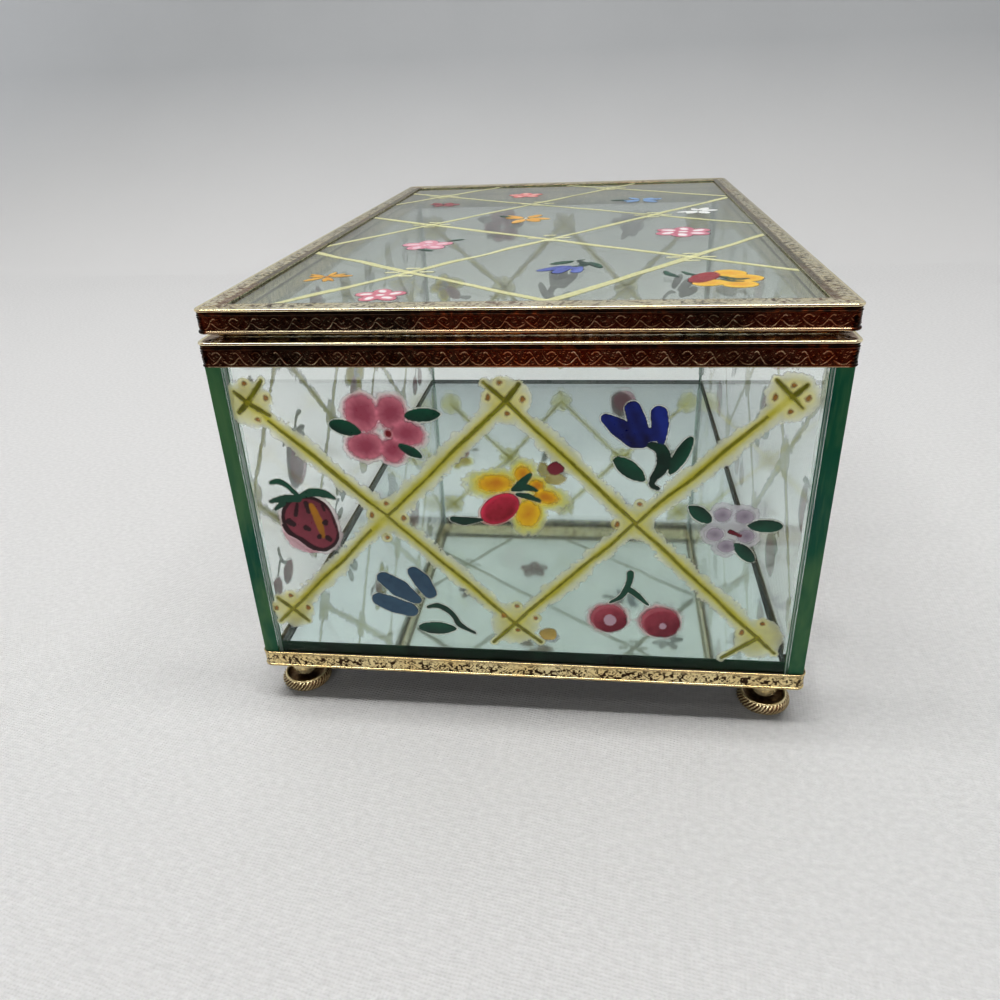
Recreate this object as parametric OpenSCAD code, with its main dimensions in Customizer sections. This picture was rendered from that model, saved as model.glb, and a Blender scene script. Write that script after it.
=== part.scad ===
// Glass casket box: five plate-glass panes and a mirror floor held in three
// bent brass strip frames, standing on four roped-edge button feet, with a
// lid that swings on two small stop hinges along the back.
// Front is -Y, the lid opens upwards and back, the feet stand on z = 0.

/* [Box] */
// Outside width of the base and rim frames, side to side
box_w = 114; // [100:1:140]
// Outside depth of the base and rim frames, front to back
box_d = 180; // [140:1:220]
// Height of glass that shows between the base frame and the rim frame
glass_show = 63.9; // [45:0.1:90]
// Outside corner radius of the frames
corner_r = 1.8; // [1.2:0.1:3]

/* [Glass] */
// Thickness of the plate glass
glass_t = 3.1; // [2.6:0.1:4]
// Distance from the frames' outer face to the outer face of the glass
glass_inset = 0.63; // [0.63:0.01:0.9]
// Thickness of the mirror glass on the floor
mirror_t = 3; // [2:0.1:4]
// Thickness of the card that backs the mirror
card_t = 1.4; // [1:0.1:2]
// Thickness of the clear adhesive in each upright corner joint
joint_t = 0.12; // [0.1:0.01:0.2]
// Leg of the adhesive fillet inside each upright corner
fillet_leg = 1; // [0.6:0.1:1.5]

/* [Frames] */
// Height of the base frame
base_h = 3.8; // [3.4:0.1:5]
// Height of the rim frame round the top of the glass
rim_h = 4.6; // [3.9:0.1:5]
// Height of the lid frame
lid_h = 4.5; // [4.4:0.1:4.8]
// Gap between the rim frame and the closed lid frame
lid_gap = 1.3; // [1:0.1:2]
// Thickness of the brass strip
strip_t = 0.47; // [0.4:0.01:0.5]
// Radius of the rolled bead along a strip's edges
bead_r = 0.3; // [0.25:0.01:0.31]
// Depth of the embossed field behind the beads
field_in = 0.1; // [0.05:0.01:0.12]
// Width of the base frame's bottom flange, which carries the floor and feet
base_flange = 9.2; // [9:0.1:14]
// Width of the rim frame's top flange
rim_flange = 4.4; // [4.35:0.05:5]
// Width of the lid frame's top flange
lid_flange = 4.4; // [4:0.1:6]
// How much narrower the lid is than the box, both sides together
lid_less_w = 0.6; // [0:0.1:1]
// How far the lid's front stands back from the rim's front
lid_less_d = 0.6; // [0:0.1:1]

/* [Feet] */
// Height from the table to the underside of the base frame
foot_h = 8.6; // [7:0.1:12]
// Radius over the roped edge of a foot
foot_r = 5.5; // [5:0.1:6]
// Height of the roped edge
rope_h = 2.9; // [2.4:0.1:3.2]
// Distance of a foot's centre from the frame's two outer faces
foot_inset = 6.5; // [5.9:0.1:8]
// Radius of the post where it meets the base frame
post_r = 3; // [2.4:0.1:3.2]

/* [Hinges] */
// Distance of each hinge's middle from the box's middle
hinge_x = 32; // [24:1:36]
// Length of a hinge along the barrel
hinge_l = 20; // [16:1:24]
// Radius of the hinge barrel
barrel_r = 1.4; // [1.3:0.05:1.5]
// Radius of the hinge pin
pin_r = 0.62; // [0.55:0.01:0.64]
// Thickness of a hinge leaf
leaf_t = 0.5; // [0.4:0.05:0.6]
// Angle at which the stop heel meets the lower leaf, in degrees
open_angle = 100; // [95:1:105]

/* [Hidden] */
$fn = 48;

// heights, from the table up
z_base = foot_h;                       // underside of the base frame
flange_t = 0.5;                        // thickness of every flange
z_bed = z_base + 0.6;                  // top of the base flange, where the glass stands
z_base_top = z_base + base_h;
z_rim = z_base_top + glass_show;       // underside of the rim frame's face
z_rim_top = z_rim + rim_h;
z_lid = z_rim_top + lid_gap;
z_lid_top = z_lid + lid_h;
z_card = z_bed + card_t;               // top of the card
z_mirror = z_card + mirror_t;          // top of the mirror
z_glass_top = z_rim_top - 0.08 - flange_t - 0.05;
z_pane = z_lid_top - 0.08 - flange_t - 0.05;  // top of the lid pane

// hinge: the barrel lies behind the frames, level with the middle of the gap
barrel_out = barrel_r + 0.3;           // barrel centre behind the frames
heel_r = barrel_r + 0.7;               // reach of the stop heel
heel_w = 0.8;
heel_a = open_angle - 105;             // where the heel points when shut
z_axis = z_rim_top + lid_gap / 2;
back_out = barrel_out + heel_r * cos(heel_a) + heel_w / 2 * abs(sin(heel_a));
// the origin is the middle of the whole footprint, hinges included
yc = -back_out / 2;
y_back = yc + box_d / 2;
y_axis = y_back + barrel_out;

// lid
lid_w = box_w - lid_less_w;
lid_d = box_d - lid_less_d;
lid_yc = yc + lid_less_d / 2;

// inner faces of the glass walls
gx = box_w / 2 - glass_inset - glass_t;
gy = box_d / 2 - glass_inset - glass_t;

brass = [0.72, 0.6, 0.36];
dark_brass = [0.52, 0.42, 0.25];
clear_green = [0.72, 0.86, 0.8, 0.45];
silver = [0.8, 0.84, 0.84];

// rectangle with round corners, centred
module rrect(w, d, r) {
    square([w - 2 * r, d], center = true);
    square([w, d - 2 * r], center = true);
    for (sx = [-1, 1], sy = [-1, 1])
        translate([sx * (w / 2 - r), sy * (d / 2 - r)]) circle(r = r);
}

// outline a distance u in from a frame's outer face
module outline(w, d, u) {
    if (corner_r - u > 0.3) rrect(w - 2 * u, d - 2 * u, corner_r - u);
    else square([w - 2 * u, d - 2 * u], center = true);
}

// flat ring that follows a frame, between two distances in from its outer face
module ring(w, d, u0, u1, z0, z1) {
    translate([0, 0, z0]) linear_extrude(z1 - z0) difference() {
        outline(w, d, u0);
        outline(w, d, u1);
    }
}

// rolled bead along the outer edge of a frame at height z
module bead(w, d, z) {
    R = corner_r;
    for (s = [-1, 1]) {
        translate([-(w / 2 - R), s * (d / 2 - bead_r), z]) rotate([0, 90, 0])
            cylinder(r = bead_r, h = w - 2 * R);
        translate([s * (w / 2 - bead_r), -(d / 2 - R), z]) rotate([-90, 0, 0])
            cylinder(r = bead_r, h = d - 2 * R);
    }
    for (k = [0 : 3])
        translate([(k == 0 || k == 3 ? 1 : -1) * (w / 2 - R),
                (k < 2 ? 1 : -1) * (d / 2 - R), z])
            rotate([0, 0, 90 * k]) rotate_extrude(angle = 90)
                translate([R - bead_r, 0]) circle(r = bead_r);
}

// upright face of a frame with a bead along both edges
module face(w, d, z0, z1) {
    ring(w, d, field_in, field_in + strip_t, z0 + bead_r / 2, z1 - bead_r / 2);
    bead(w, d, z0 + bead_r);
    bead(w, d, z1 - bead_r);
}

module foot_spots()
    for (sx = [-1, 1], sy = [-1, 1])
        translate([sx * (box_w / 2 - foot_inset), yc + sy * (box_d / 2 - foot_inset), 0])
            children();

// bottom strip: face outside the glass and a wide flange under it
module base_frame() color(brass) difference() {
    translate([0, yc, 0]) {
        face(box_w, box_d, z_base, z_base_top);
        ring(box_w, box_d, field_in + strip_t / 2, base_flange, z_base + 0.05, z_bed);
    }
    foot_spots() translate([0, 0, z_base - 1]) cylinder(r = 1.1, h = 3);
}

// channel over the top edge of the glass walls
module rim_frame() color(brass) translate([0, yc, 0]) {
    face(box_w, box_d, z_rim, z_rim_top);
    ring(box_w, box_d, field_in + strip_t / 2, rim_flange, z_rim_top - 0.08 - flange_t, z_rim_top - 0.08);
    ring(box_w, box_d, rim_flange - 0.5, rim_flange, z_rim_top - 2.6, z_rim_top - 0.2);
}

// channel round the lid pane; its inner bead comes down to meet the rim
module lid_frame() color(brass) translate([0, lid_yc, 0]) {
    face(lid_w, lid_d, z_lid, z_lid_top);
    ring(lid_w, lid_d, field_in + strip_t / 2, lid_flange, z_lid_top - 0.08 - flange_t, z_lid_top - 0.08);
    ring(lid_w, lid_d, field_in + strip_t / 2, lid_flange - 0.4, z_pane - glass_t - 0.55, z_pane - glass_t - 0.05);
    ring(lid_w, lid_d, lid_flange - 1.4, lid_flange - 0.4, z_rim_top + 0.3, z_pane - glass_t - 0.3);
}

// front and back panes stand between the side panes
module end_pane(s) color(clear_green)
    translate([0, yc + s * (gy + glass_t / 2), (z_bed + z_glass_top) / 2])
        cube([2 * (gx - joint_t), glass_t, z_glass_top - z_bed], center = true);

module side_pane(s) color(clear_green)
    translate([s * (gx + glass_t / 2), yc, (z_bed + z_glass_top) / 2])
        cube([glass_t, 2 * (gy + glass_t), z_glass_top - z_bed], center = true);

module front_pane() end_pane(-1);
module back_pane() end_pane(1);
module left_pane() side_pane(-1);
module right_pane() side_pane(1);

module lid_pane() color(clear_green)
    translate([0, lid_yc, z_pane - glass_t / 2])
        cube([lid_w - 2 * glass_inset, lid_d - 2 * glass_inset, glass_t], center = true);

// mirror laid face up on its card
module mirror_floor() color(silver)
    translate([0, yc, z_card + mirror_t / 2])
        cube([2 * (gx - 0.15), 2 * (gy - 0.15), mirror_t], center = true);

module backing_card() color([0.35, 0.31, 0.27])
    translate([0, yc, z_bed + card_t / 2])
        cube([2 * (gx - 0.15), 2 * (gy - 0.15), card_t], center = true);

// clear adhesive in the upright joints, with a small fillet inside that
// stops above the mirror, so nothing overhangs the floor
module corner_adhesive() color([0.9, 0.95, 0.93, 0.6])
    for (sx = [-1, 1], sy = [-1, 1]) translate([0, yc, 0]) {
        translate([0, 0, z_mirror + 0.1])
            linear_extrude(z_rim_top - 2.7 - z_mirror - 0.1)
                polygon([[sx * gx, sy * (gy + glass_t)], [sx * gx, sy * gy],
                    [sx * (gx - joint_t), sy * gy], [sx * (gx - joint_t), sy * (gy + glass_t)]]);
        translate([0, 0, z_mirror + 2.2])
            linear_extrude(z_rim_top - 2.7 - z_mirror - 2.2)
                polygon([[sx * gx, sy * (gy + 0.05)], [sx * gx, sy * (gy - fillet_leg)],
                    [sx * (gx - fillet_leg), sy * gy], [sx * (gx - joint_t), sy * gy],
                    [sx * (gx - joint_t), sy * (gy + 0.05)]]);
    }

module at_foot(sx, sy)
    translate([sx * (box_w / 2 - foot_inset), yc + sy * (box_d / 2 - foot_inset), 0]) children();

// button foot: flat underside, round edge that carries the rope pattern,
// dished top and a hole for the post's spigot
module foot() color(dark_brass) difference() {
    union() {
        cylinder(r = foot_r - rope_h / 2, h = 2.2);
        translate([0, 0, rope_h / 2 + 0.05]) rotate_extrude()
            translate([foot_r - (rope_h / 2 - 0.05), 0]) circle(r = rope_h / 2 - 0.05);
    }
    translate([0, 0, -1]) cylinder(r = 1.2, h = 5);
}

module front_left_foot() at_foot(-1, -1) foot();
module front_right_foot() at_foot(1, -1) foot();
module back_left_foot() at_foot(-1, 1) foot();
module back_right_foot() at_foot(1, 1) foot();

// tapered post with a spigot into the foot and a rivet end in the flange
module post() color(brass) rotate_extrude()
    polygon([[0, 0.3], [1.15, 0.3], [1.15, 2.2], [post_r * 0.8, 2.2],
        [post_r * 0.84, 3.4], [post_r * 0.93, z_base - 1.6], [post_r, z_base],
        [1.05, z_base], [1.05, z_bed - 0.05], [0, z_bed - 0.05]]);

module front_left_post() at_foot(-1, -1) post();
module front_right_post() at_foot(1, -1) post();
module back_left_post() at_foot(-1, 1) post();
module back_right_post() at_foot(1, 1) post();

// one hinge leaf along x, in hinge coordinates: y and z from the barrel's
// centre; up = 1 for the lid's leaf, -1 for the rim's
mid_l = hinge_l * 0.36;                // length of the lid's middle knuckle
end_l = (hinge_l - mid_l) / 2 - 0.3;   // length of each of the rim's knuckles
module leaf_section(up) {
    circle(r = barrel_r);
    polygon([for (p = [[-barrel_out, 2.0], [-barrel_out + leaf_t, 2.0], [-0.5, 1.0],
            [-1.1, -0.25], [-barrel_r - 0.04, 0.2], [-barrel_out, 0.8]]) [p[0], up * p[1]]]);
}
module along_x(l) rotate([90, 0, 90]) linear_extrude(l, center = true) children();

module leaf(up) {
    far = up > 0 ? z_lid_top - 0.45 - z_axis : z_axis - z_rim - 0.35;
    translate([-hinge_l / 2, -barrel_out, up > 0 ? 1.25 : -far])
        cube([hinge_l, leaf_t, far - 1.25]);
}

module rim_leaf(s) color(brass) translate([s * hinge_x, y_axis, z_axis])
    difference() {
        union() {
            leaf(-1);
            for (e = [-1, 1]) translate([e * (hinge_l - end_l) / 2, 0, 0])
                along_x(end_l) leaf_section(-1);
        }
        rotate([0, 90, 0]) cylinder(r = 0.6 / 0.62 * pin_r, h = hinge_l + 2, center = true);
    }

module lid_leaf(s) color(brass) translate([s * hinge_x, y_axis, z_axis])
    difference() {
        union() {
            leaf(1);
            along_x(mid_l) leaf_section(1);
            // stop heel: meets the rim's leaf when the lid is fully open
            rotate([heel_a, 0, 0]) translate([-mid_l / 2 + 0.3, 1.05, -heel_w / 2])
                cube([mid_l - 0.6, heel_r - 1.05, heel_w]);
        }
        rotate([0, 90, 0]) cylinder(r = pin_r + 0.05, h = hinge_l + 2, center = true);
    }

module left_rim_hinge_leaf() rim_leaf(-1);
module right_rim_hinge_leaf() rim_leaf(1);
module left_lid_hinge_leaf() lid_leaf(-1);
module right_lid_hinge_leaf() lid_leaf(1);

// headed pin, a press fit in the rim's knuckles and free in the lid's
module hinge_pin(s) color(dark_brass) translate([s * hinge_x, y_axis, z_axis])
    rotate([0, 90, 0]) {
        cylinder(r = pin_r, h = hinge_l + 0.4, center = true);
        for (e = [-1, 1]) translate([0, 0, e * (hinge_l / 2 + 0.25)])
            cylinder(r = pin_r + 0.35, h = 0.4, center = true);
    }
module left_hinge_pin() hinge_pin(-1);
module right_hinge_pin() hinge_pin(1);

base_frame();
rim_frame();
lid_frame();
front_pane();
back_pane();
left_pane();
right_pane();
lid_pane();
mirror_floor();
backing_card();
corner_adhesive();
front_left_foot();
front_right_foot();
back_left_foot();
back_right_foot();
front_left_post();
front_right_post();
back_left_post();
back_right_post();
left_rim_hinge_leaf();
right_rim_hinge_leaf();
left_lid_hinge_leaf();
right_lid_hinge_leaf();
left_hinge_pin();
right_hinge_pin();
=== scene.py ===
import math
import bpy
import numpy as np
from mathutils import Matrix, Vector


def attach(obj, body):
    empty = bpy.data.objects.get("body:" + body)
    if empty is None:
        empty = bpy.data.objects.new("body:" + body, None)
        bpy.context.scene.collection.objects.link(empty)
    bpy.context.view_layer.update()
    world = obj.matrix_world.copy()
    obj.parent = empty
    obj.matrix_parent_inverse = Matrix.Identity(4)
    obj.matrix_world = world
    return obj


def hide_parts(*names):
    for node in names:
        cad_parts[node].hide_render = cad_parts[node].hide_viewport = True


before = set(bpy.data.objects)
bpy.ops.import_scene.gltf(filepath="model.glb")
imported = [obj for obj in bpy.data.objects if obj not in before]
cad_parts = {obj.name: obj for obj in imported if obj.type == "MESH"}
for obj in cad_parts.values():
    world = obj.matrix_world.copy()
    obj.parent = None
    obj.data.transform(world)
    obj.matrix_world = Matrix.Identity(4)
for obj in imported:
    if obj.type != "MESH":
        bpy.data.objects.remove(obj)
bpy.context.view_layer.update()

MM = 0.001
scene = bpy.context.scene

# ---------------------------------------------------------------- sizes (mm)
YC = -1.9134                 # middle of the box, front to back
LYC = -1.6134                # middle of the lid
HW, HD = 57.0, 90.0          # half sizes of the base and rim frames
LHW, LHD = 56.7, 89.7        # half sizes of the lid
GX, GY, GT = 53.27, 86.27, 3.1   # inner faces of the glass, and its thickness
Z_BED, Z_CARD, Z_MIRROR = 9.2, 10.6, 13.6
Z_GLASS = 80.27
PANE_LO, PANE_HI = 82.97, 86.07


# ---------------------------------------------------------------- numbers
def lin(r, g, b):
    """sRGB 0-255 to linear."""
    return np.array([((c / 255 + 0.055) / 1.055) ** 2.4 if c > 10 else c / 255 / 12.92 for c in (r, g, b)])


def _hash(a, b, seed):
    n = (a * 374761393 + b * 668265263 + seed * 1442695041) & 0xFFFFFFFF
    n = ((n ^ (n >> 13)) * 1274126177) & 0xFFFFFFFF
    n = n ^ (n >> 16)
    return (n & 0xFFFF) / 65535.0


def vnoise(x, y, seed=0):
    """Smooth value noise, 0 to 1, one cell per unit."""
    xi, yi = np.floor(x).astype(np.int64), np.floor(y).astype(np.int64)
    fx, fy = x - xi, y - yi
    u, v = fx * fx * (3 - 2 * fx), fy * fy * (3 - 2 * fy)
    a, b = _hash(xi, yi, seed), _hash(xi + 1, yi, seed)
    c, d = _hash(xi, yi + 1, seed), _hash(xi + 1, yi + 1, seed)
    return (a * (1 - u) + b * u) * (1 - v) + (c * (1 - u) + d * u) * v


def fbm(x, y, seed=0, octaves=3):
    t, amp, s = 0.0, 1.0, 0.0
    for k in range(octaves):
        t = t + amp * vnoise(x * 2 ** k, y * 2 ** k, seed + 17 * k)
        s += amp
        amp *= 0.5
    return t / s


def sstep(a, b, x):
    t = np.clip((x - a) / (b - a), 0, 1)
    return t * t * (3 - 2 * t)


# ---------------------------------------------------------------- meshes
def mesh_from(name, verts, faces, mats, face_mat=None, smooth=True, attrs=None, colours=None):
    """verts (N,3) in mm; faces: list of arrays (M,k) or lists; makes the object."""
    me = bpy.data.meshes.new(name)
    verts = np.asarray(verts, dtype=np.float64) * MM
    loops, starts, at = [], [], 0
    for group in faces:
        g = np.asarray(group, dtype=np.int32)
        if g.size == 0:
            continue
        loops.append(g.ravel())
        starts.append(at + np.arange(g.shape[0], dtype=np.int32) * g.shape[1])
        at += g.size
    loops = np.concatenate(loops)
    starts = np.concatenate(starts)
    me.vertices.add(len(verts))
    me.vertices.foreach_set("co", verts.ravel().astype(np.float32))
    me.loops.add(len(loops))
    me.loops.foreach_set("vertex_index", loops)
    me.polygons.add(len(starts))
    me.polygons.foreach_set("loop_start", starts)
    if face_mat is not None:
        me.polygons.foreach_set("material_index", np.asarray(face_mat, dtype=np.int32))
    me.update(calc_edges=True)
    me.validate()
    me.polygons.foreach_set("use_smooth", np.full(len(me.polygons), bool(smooth)))
    for key, val in (attrs or {}).items():
        a = me.attributes.new(key, "FLOAT", "POINT")
        a.data.foreach_set("value", np.asarray(val, dtype=np.float32))
    for key, val in (colours or {}).items():
        a = me.attributes.new(key, "FLOAT_COLOR", "POINT")
        a.data.foreach_set("color", np.asarray(val, dtype=np.float32).ravel())
    for m in mats:
        me.materials.append(m)
    ob = bpy.data.objects.new(name, me)
    scene.collection.objects.link(ob)
    return ob


def by_angle(ob, degrees):
    """Smooth shading that keeps edges sharper than this angle."""
    me = ob.data
    import bmesh
    bm = bmesh.new()
    bm.from_mesh(me)
    lim = math.radians(degrees)
    for e in bm.edges:
        e.smooth = not (len(e.link_faces) == 2 and e.calc_face_angle(0) > lim)
    bm.to_mesh(me)
    bm.free()


# ---------------------------------------------------------------- node help
def new_mat(name):
    m = bpy.data.materials.new(name)
    m.use_nodes = True
    nt = m.node_tree
    p = nt.nodes["Principled BSDF"]
    return m, nt, p


def node(nt, kind, **kw):
    n = nt.nodes.new(kind)
    for k, v in kw.items():
        if k in n.inputs:
            n.inputs[k].default_value = v
        else:
            setattr(n, k, v)
    return n


def ramp(nt, src, stops):
    n = nt.nodes.new("ShaderNodeValToRGB")
    e = n.color_ramp.elements
    while len(e) > 1:
        e.remove(e[-1])
    e[0].position, e[0].color = stops[0][0], (*stops[0][1], 1)
    for pos, c in stops[1:]:
        k = e.new(pos)
        k.color = (*c, 1)
    nt.links.new(src, n.inputs[0])
    return n.outputs[0]


def grey(nt, src, stops):
    n = nt.nodes.new("ShaderNodeValToRGB")
    e = n.color_ramp.elements
    while len(e) > 1:
        e.remove(e[-1])
    e[0].position, e[0].color = stops[0][0], (stops[0][1],) * 3 + (1,)
    for pos, c in stops[1:]:
        k = e.new(pos)
        k.color = (c, c, c, 1)
    nt.links.new(src, n.inputs[0])
    return n.outputs[0]


def coords(nt, scale=(1, 1, 1)):
    tc = nt.nodes.new("ShaderNodeTexCoord")
    mp = nt.nodes.new("ShaderNodeMapping")
    mp.inputs["Scale"].default_value = scale
    nt.links.new(tc.outputs["Object"], mp.inputs["Vector"])
    return mp.outputs[0]


def noise(nt, vec, scale, detail=3, rough=0.55, dist=0.0):
    n = nt.nodes.new("ShaderNodeTexNoise")
    n.inputs["Scale"].default_value = scale
    n.inputs["Detail"].default_value = detail
    n.inputs["Roughness"].default_value = rough
    n.inputs["Distortion"].default_value = dist
    nt.links.new(vec, n.inputs["Vector"])
    return n.outputs["Fac"]


def mix(nt, fac, a, b, mode="MIX"):
    n = nt.nodes.new("ShaderNodeMix")
    n.data_type, n.blend_type = "RGBA", mode
    for sock, v in ((n.inputs[0], fac), (n.inputs[6], a), (n.inputs[7], b)):
        if hasattr(v, "is_output"):
            nt.links.new(v, sock)
        elif isinstance(v, (int, float)):
            sock.default_value = v
        else:
            sock.default_value = (*v, 1)
    return n.outputs[2]


def math_node(nt, op, a, b=0.0):
    n = nt.nodes.new("ShaderNodeMath")
    n.operation = op
    for sock, v in ((n.inputs[0], a), (n.inputs[1], b)):
        if hasattr(v, "is_output"):
            nt.links.new(v, sock)
        else:
            sock.default_value = v
    return n.outputs[0]


def bump(nt, p, height, strength, distance):
    n = nt.nodes.new("ShaderNodeBump")
    n.inputs["Strength"].default_value = strength
    n.inputs["Distance"].default_value = distance
    nt.links.new(height, n.inputs["Height"])
    nt.links.new(n.outputs[0], p.inputs["Normal"])


def attr(nt, name, out="Fac"):
    n = nt.nodes.new("ShaderNodeAttribute")
    n.attribute_name = name
    return n.outputs[out]


# ---------------------------------------------------------------- materials
def brass(name, bright, mid, dark, patina_and_shade=True, rough=(0.2, 0.42), grime=0.35, deep=None, metal=1.0):
    """Antiqued brass: bright on the high places, brown in the low ones, and dark where the patina_and_shade attribute
    also lays painted shade.
    """
    m, nt, p = new_mat(name)
    v = coords(nt)
    big = noise(nt, v, 160, 3)
    fine = noise(nt, v, 2600, 2)
    tone = mix(nt, grey(nt, big, [(0.3, 0.0), (0.72, 1.0)]), bright, mid)
    if deep:
        # the stain runs from black to red-brown along the strips; its red-brown is also a painted reflection of dark
        # red-brown surroundings
        dark = mix(nt, grey(nt, noise(nt, v, 22, 3), [(0.46, 0.0), (0.64, 1.0)]), deep, dark)
    spots = grey(nt, fine, [(0.52, 0.0), (0.75, grime)])
    tone = mix(nt, spots, tone, dark)
    if patina_and_shade:
        pa = attr(nt, "patina_and_shade")
        pn = math_node(nt, "MULTIPLY", pa, grey(nt, noise(nt, v, 900, 2), [(0.2, 0.8), (0.8, 1.12)]))
        pc = grey(nt, pn, [(0.0, 0.0), (1.0, 1.0)])
        tone = mix(nt, pc, tone, dark)
        # where the values run well over 1 it is almost black: the deepest stain, and the painted shade laid in the
        # coves, grooves and bent corners of the lid and rim strips
        thick = grey(nt, math_node(nt, "MULTIPLY", pn, 0.5), [(0.60, 0.0), (0.74, 1.0)])
        tone = mix(nt, thick, tone, (0.014, 0.009, 0.006))
        r = mix(nt, pc, (rough[0],) * 3, (rough[1],) * 3)
    else:
        r = grey(nt, big, [(0.3, rough[0]), (0.8, rough[1])])
    nt.links.new(tone, p.inputs["Base Color"])
    nt.links.new(r, p.inputs["Roughness"])
    p.inputs["Metallic"].default_value = metal
    bump(nt, p, fine, 0.25, 0.00004)
    return m


# frame_brass: the red-brown dark on the lid and rim faces is both stain and a painted reflection of dark red-brown
# surroundings
FRAME = brass("frame_brass", (0.98, 0.90, 0.66), (0.90, 0.77, 0.47), (0.27, 0.062, 0.016), rough=(0.14, 0.20), deep=(0.040, 0.020, 0.010), metal=0.97)
BASE = brass("base_brass", (0.99, 0.85, 0.50), (0.90, 0.70, 0.34), (0.040, 0.020, 0.008), rough=(0.16, 0.26), metal=0.85)
FOOT = brass("foot_brass", (0.98, 0.86, 0.54), (0.88, 0.71, 0.38), (0.075, 0.024, 0.007), rough=(0.24, 0.34), metal=0.7)
HINGE = brass("hinge_brass", (0.66, 0.52, 0.30), (0.46, 0.35, 0.19), (0.10, 0.07, 0.04), patina_and_shade=False, rough=(0.25, 0.45), grime=0.5)
PIN = brass("pin_brass", (0.60, 0.48, 0.28), (0.42, 0.32, 0.18), (0.08, 0.05, 0.03), patina_and_shade=False, rough=(0.22, 0.4), grime=0.4)


def clear_glass(name, tint, smear=0.5):
    m, nt, p = new_mat(name)
    v = coords(nt)
    n = noise(nt, v, 55, 4, 0.6)
    base = mix(nt, grey(nt, n, [(0.35, 0.0), (0.75, 1.0)]), tint, tuple(0.97 * c for c in tint))
    nt.links.new(base, p.inputs["Base Color"])
    r = grey(nt, noise(nt, v, 90, 4, 0.7), [(0.45, 0.0), (0.85, 0.03 * smear)])
    nt.links.new(r, p.inputs["Roughness"])
    p.inputs["IOR"].default_value = 1.5
    p.inputs["Specular Tint"].default_value = (0.5, 0.52, 0.52, 1)
    p.inputs["Transmission Weight"].default_value = 1.0
    return m


def edge_glass(name, light, dark, deep):
    """Cut and ground edge of float glass: deep green with streaks."""
    m, nt, p = new_mat(name)
    v = coords(nt, (1.0, 1.0, 0.35))
    n = noise(nt, v, 70, 4, 0.6, 0.6)
    s = noise(nt, coords(nt, (1.0, 1.0, 0.12)), 900, 2)
    c = ramp(nt, n, [(0.25, deep), (0.48, dark), (0.72, light)])
    c = mix(nt, grey(nt, s, [(0.5, 0.0), (0.8, 0.35)]), c, light)
    nt.links.new(c, p.inputs["Base Color"])
    nt.links.new(grey(nt, n, [(0.3, 0.08), (0.8, 0.3)]), p.inputs["Roughness"])
    p.inputs["IOR"].default_value = 1.5
    p.inputs["Specular IOR Level"].default_value = 0.2
    bump(nt, p, s, 0.15, 0.00003)
    return m


CLEAR = clear_glass("pane_clear", (0.955, 0.985, 0.975))
# pane_edge: deep green and teal, with lighter olive patches that are a painted reflection of the yellow trellis inside
# the glass
EDGE = edge_glass("pane_edge", (0.09, 0.18, 0.075), (0.010, 0.085, 0.048), (0.001, 0.052, 0.050))
JOINT = edge_glass("pane_joint", (0.62, 0.70, 0.66), (0.42, 0.52, 0.47), (0.16, 0.24, 0.20))
# lid_clear is tinted much darker than the walls' glass: painted shade that darkens the lid
LCLEAR = clear_glass("lid_clear", (0.69, 0.755, 0.70))
MCLEAR = clear_glass("mirror_clear", (0.955, 0.99, 0.98), 0.6)
MEDGE = edge_glass("mirror_edge", (0.008, 0.045, 0.02), (0.002, 0.018, 0.008), (0.001, 0.007, 0.004))


def silver():
    m, nt, p = new_mat("mirror_silver")
    v = coords(nt)
    n = noise(nt, v, 42, 5, 0.62)
    f = noise(nt, v, 3400, 2)
    c = mix(nt, grey(nt, n, [(0.38, 0.0), (0.8, 0.5)]), (0.97, 0.985, 0.985), (0.88, 0.92, 0.93))
    c = mix(nt, grey(nt, f, [(0.6, 0.0), (0.72, 0.4)]), c, (0.97, 0.98, 0.98))
    nt.links.new(c, p.inputs["Base Color"])
    nt.links.new(grey(nt, n, [(0.3, 0.015), (0.8, 0.06)]), p.inputs["Roughness"])
    p.inputs["Metallic"].default_value = 1.0
    bump(nt, p, f, 0.12, 0.00001)
    return m


SILVER = silver()


def back_paint():
    m, nt, p = new_mat("mirror_back_paint")
    n = noise(nt, coords(nt), 300, 4)
    nt.links.new(ramp(nt, n, [(0.3, (0.045, 0.035, 0.03)), (0.7, (0.08, 0.06, 0.05))]), p.inputs["Base Color"])
    nt.links.new(grey(nt, n, [(0.3, 0.45), (0.7, 0.65)]), p.inputs["Roughness"])
    return m


BACKING = back_paint()


def paint(name, rough=0.38, clear=0.0):
    """Enamel painted on the glass: colour and cover come from the strokes."""
    m, nt, p = new_mat(name)
    a = nt.nodes.new("ShaderNodeAttribute")
    a.attribute_name = "Col"
    v = coords(nt)
    n = noise(nt, v, 1400, 3, 0.6)
    c = mix(nt, grey(nt, n, [(0.3, 0.0), (0.8, 0.22)]), a.outputs["Color"], (0.5, 0.5, 0.45), "OVERLAY")
    nt.links.new(c, p.inputs["Base Color"])
    nt.links.new(a.outputs["Alpha"], p.inputs["Alpha"])
    nt.links.new(grey(nt, n, [(0.3, rough - 0.1), (0.8, rough + 0.15)]), p.inputs["Roughness"])
    if clear:
        p.inputs["Transmission Weight"].default_value = clear
        p.inputs["IOR"].default_value = 1.3
    bump(nt, p, n, 0.3, 0.00005)
    return m


PAINT = paint("enamel_paint", 0.36)
WASH = paint("enamel_wash", 0.62, 0.5)


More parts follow.
